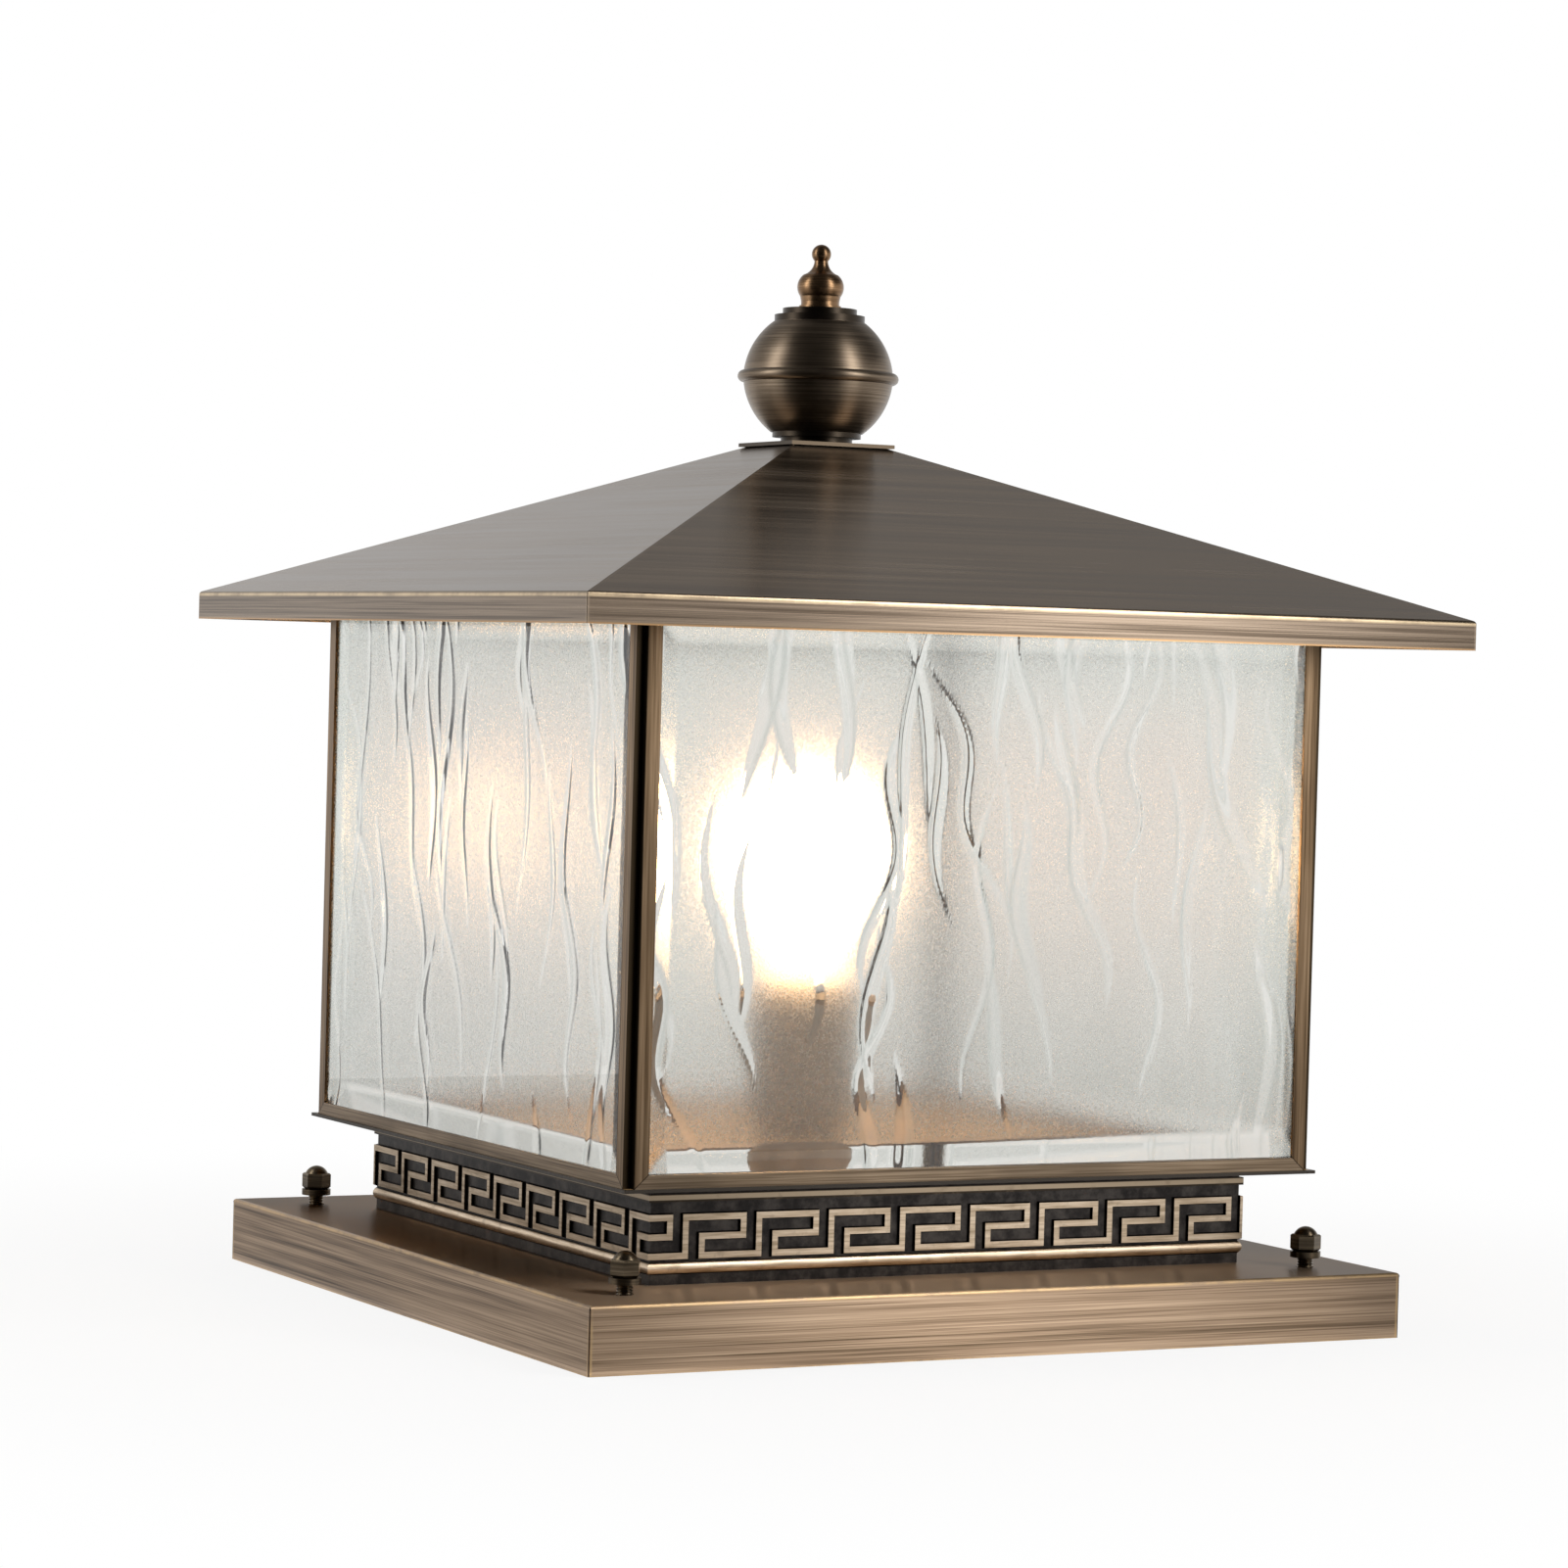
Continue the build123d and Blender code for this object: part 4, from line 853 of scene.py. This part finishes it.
floor_mesh = bpy.data.meshes.new("floor")
floor_corners = [
    (-FLOOR_REACH, -FLOOR_REACH, 0),
    (FLOOR_REACH, -FLOOR_REACH, 0),
    (FLOOR_REACH, FLOOR_REACH, 0),
    (-FLOOR_REACH, FLOOR_REACH, 0),
]
floor_mesh.from_pydata(floor_corners, [], [(0, 1, 2, 3)])
floor_mesh.materials.append(pale_floor())
floor = bpy.data.objects.new("floor", floor_mesh)
floor.location.z = -FLOOR_DROP
bpy.context.scene.collection.objects.link(floor)

# Studio: a white world, seen as plain white and lighting the rest more softly
world = bpy.data.worlds.new("studio")
world.use_nodes = True
bpy.context.scene.world = world
sky = Nodes(world.node_tree)
sky_paths = sky.add("ShaderNodeLightPath").outputs
soft_light = {"Color": rgb(1, 0.985, 0.965), "Strength": SKY_LIGHT}
sky_mix = sky.add("ShaderNodeBackground", soft_light).outputs[0]
backdrop = sky.add("ShaderNodeBackground", {"Color": rgb(1, 1, 1), "Strength": 1.0}).outputs[0]
for seen_ray in SEEN_RAYS:
    sky_mix = sky.add("ShaderNodeMixShader", {0: sky_paths[seen_ray], 1: sky_mix, 2: backdrop}).outputs[0]
sky.add("ShaderNodeOutputWorld", {"Surface": sky_mix})


def heading(azimuth, elevation=0.0):
    """Direction from the lantern, in degrees from the front towards the right, and up."""
    turn = math.radians(azimuth)
    tilt = math.radians(elevation)
    return Vector((math.sin(turn) * math.cos(tilt), -math.cos(turn) * math.cos(tilt), math.sin(tilt)))


def flag(name, corners, faces, brightness, fade=None):
    """A dim card of the studio. Only reflections show it. A fade gives a direction, where
    along it the card starts and ends to change, and the brightness it had before."""
    look = Look(name)
    if fade:
        direction, start, end, before = fade
        along = look.add("ShaderNodeVectorMath", {0: look.place, 1: direction}, operation="DOT_PRODUCT")
        strength = look.span(along.outputs["Value"], start, end, before, brightness)
    else:
        strength = brightness
    cloth = look.finish(look.add("ShaderNodeEmission", {"Strength": strength}).outputs[0])
    mesh = bpy.data.meshes.new(name)
    mesh.from_pydata(corners, [], faces)
    mesh.materials.append(cloth)
    card = bpy.data.objects.new(name, mesh)
    card.visible_camera = False
    card.visible_diffuse = False
    card.visible_transmission = False
    card.visible_shadow = False
    bpy.context.scene.collection.objects.link(card)


def standing_flag(name, azimuths, brightness):
    """A curved screen that stands round part of the lantern, with its foot drawn in over the floor."""
    around = np.linspace(*azimuths, SCREEN_STEPS + 1)
    corners = [heading(a) * reach + Vector((0, 0, z)) for reach, z in SCREEN_OUTLINE for a in around]
    count = len(around)
    faces = []
    for row in range(len(SCREEN_OUTLINE) - 1):
        for step in range(SCREEN_STEPS):
            start = row * count + step
            faces.append((start, start + 1, start + count + 1, start + count))
    flag(name, corners, faces, brightness)


standing_flag("dark_screen", SCREEN_AZIMUTHS, SCREEN_BRIGHTNESS)
for ceiling_name, near, far, brightness, fade in CEILINGS:
    ceiling_corners = [
        (-CEILING_REACH, near, CEILING_HEIGHT),
        (-CEILING_REACH, far, CEILING_HEIGHT),
        (CEILING_REACH, far, CEILING_HEIGHT),
        (CEILING_REACH, near, CEILING_HEIGHT),
    ]
    flag(ceiling_name, ceiling_corners, [(0, 1, 2, 3)], brightness, fade)

# Grey cards on the floor, beside the base and towards both ends of its front
middle_out = heading(CARD_HEADING)
middle_across = heading(CARD_HEADING + 90)
front_middle = Vector((0, -CARD_NEAR, CARD_HEIGHT))
front_far = front_middle + middle_out * (CARD_FAR - CARD_NEAR) / -middle_out.y
middle_line = front_middle.dot(middle_across)
for card_name, card_end, start, dim in FRONT_CARDS:
    end_sign = math.copysign(1, card_end)
    card_corners = [
        front_middle,
        front_far,
        Vector((card_end, -CARD_FAR, CARD_HEIGHT)),
        Vector((card_end, -CARD_NEAR, CARD_HEIGHT)),
    ]
    line = end_sign * middle_line
    card_fade = (middle_across * end_sign, line + start, line + start + CARD_FADE, 1.0)
    flag(card_name, card_corners, [(0, 1, 2, 3)], dim, card_fade)
side_corners = [
    Vector((-CARD_NEAR, -CARD_NEAR, CARD_HEIGHT)),
    Vector((-CARD_SIDE, -CARD_NEAR, CARD_HEIGHT)),
    Vector((-CARD_SIDE, CARD_SIDE, CARD_HEIGHT)),
    Vector((-CARD_NEAR, CARD_SIDE, CARD_HEIGHT)),
]
flag("card_side", side_corners, [(0, 1, 2, 3)], SIDE_CARD_BRIGHTNESS)


def softbox(name, azimuth, width, power):
    """An upright area lamp that faces the lantern, dimmer towards its rim."""
    low, high = SOFTBOX_HEIGHTS
    lamp = bpy.data.lights.new(name, "AREA")
    lamp.shape = "RECTANGLE"
    lamp.size = width
    lamp.size_y = high - low
    lamp.energy = power
    lamp.use_nodes = True
    cloth = Nodes(lamp.node_tree)
    place = cloth.add("ShaderNodeNewGeometry").outputs["Parametric"]
    axes = cloth.add("ShaderNodeSeparateXYZ", {"Vector": place}).outputs
    across = cloth.math("ABSOLUTE", cloth.math("SUBTRACT", axes["X"], 0.5))
    along = cloth.math("ABSOLUTE", cloth.math("SUBTRACT", axes["Y"], 0.5))
    core_across, core_along = SOFTBOX_CORE
    across_glow = cloth.span(across, core_across, 0.5, 1.0, 0.0)
    along_glow = cloth.span(along, core_along, 0.5, 1.0, 0.0)
    glow = cloth.math("MULTIPLY", across_glow, along_glow)
    shine = cloth.add("ShaderNodeEmission", {"Strength": glow}).outputs[0]
    cloth.add("ShaderNodeOutputLight", {"Surface": shine})
    away = heading(azimuth)
    made = bpy.data.objects.new(name, lamp)
    made.location = away * SOFTBOX_DISTANCE + Vector((0, 0, (low + high) / 2))
    made.rotation_euler = away.to_track_quat("Z", "Y").to_euler()
    made.visible_camera = False
    made.visible_transmission = False
    bpy.context.scene.collection.objects.link(made)


softbox("softbox_right", azimuth=28.4, width=0.42, power=15.8)
softbox("softbox_left", azimuth=-103, width=0.50, power=11.8)

# Camera
back = heading(CAMERA_AZIMUTH, CAMERA_ELEVATION)
level_right = Vector(UP).cross(back).normalized()
level_up = back.cross(level_right)
roll = math.radians(CAMERA_ROLL)
camera_right = math.cos(roll) * level_right + math.sin(roll) * level_up
camera_up = back.cross(camera_right)
camera_place = CAMERA_TARGET + back * CAMERA_DISTANCE + level_right * CAMERA_SIDESTEP
camera_data = bpy.data.cameras.new("camera")
camera_data.sensor_width = SENSOR_WIDTH
camera_data.lens = CAMERA_FOCAL_PIXELS * SENSOR_WIDTH / PHOTO_WIDTH
camera_data.clip_start = CAMERA_CLIP_START
camera = bpy.data.objects.new("camera", camera_data)
camera_turn = Matrix((camera_right, camera_up, back)).transposed().to_4x4()
camera.matrix_world = Matrix.Translation(camera_place) @ camera_turn
bpy.context.scene.collection.objects.link(camera)
bpy.context.scene.camera = camera
bpy.context.scene.view_settings.view_transform = "Standard"
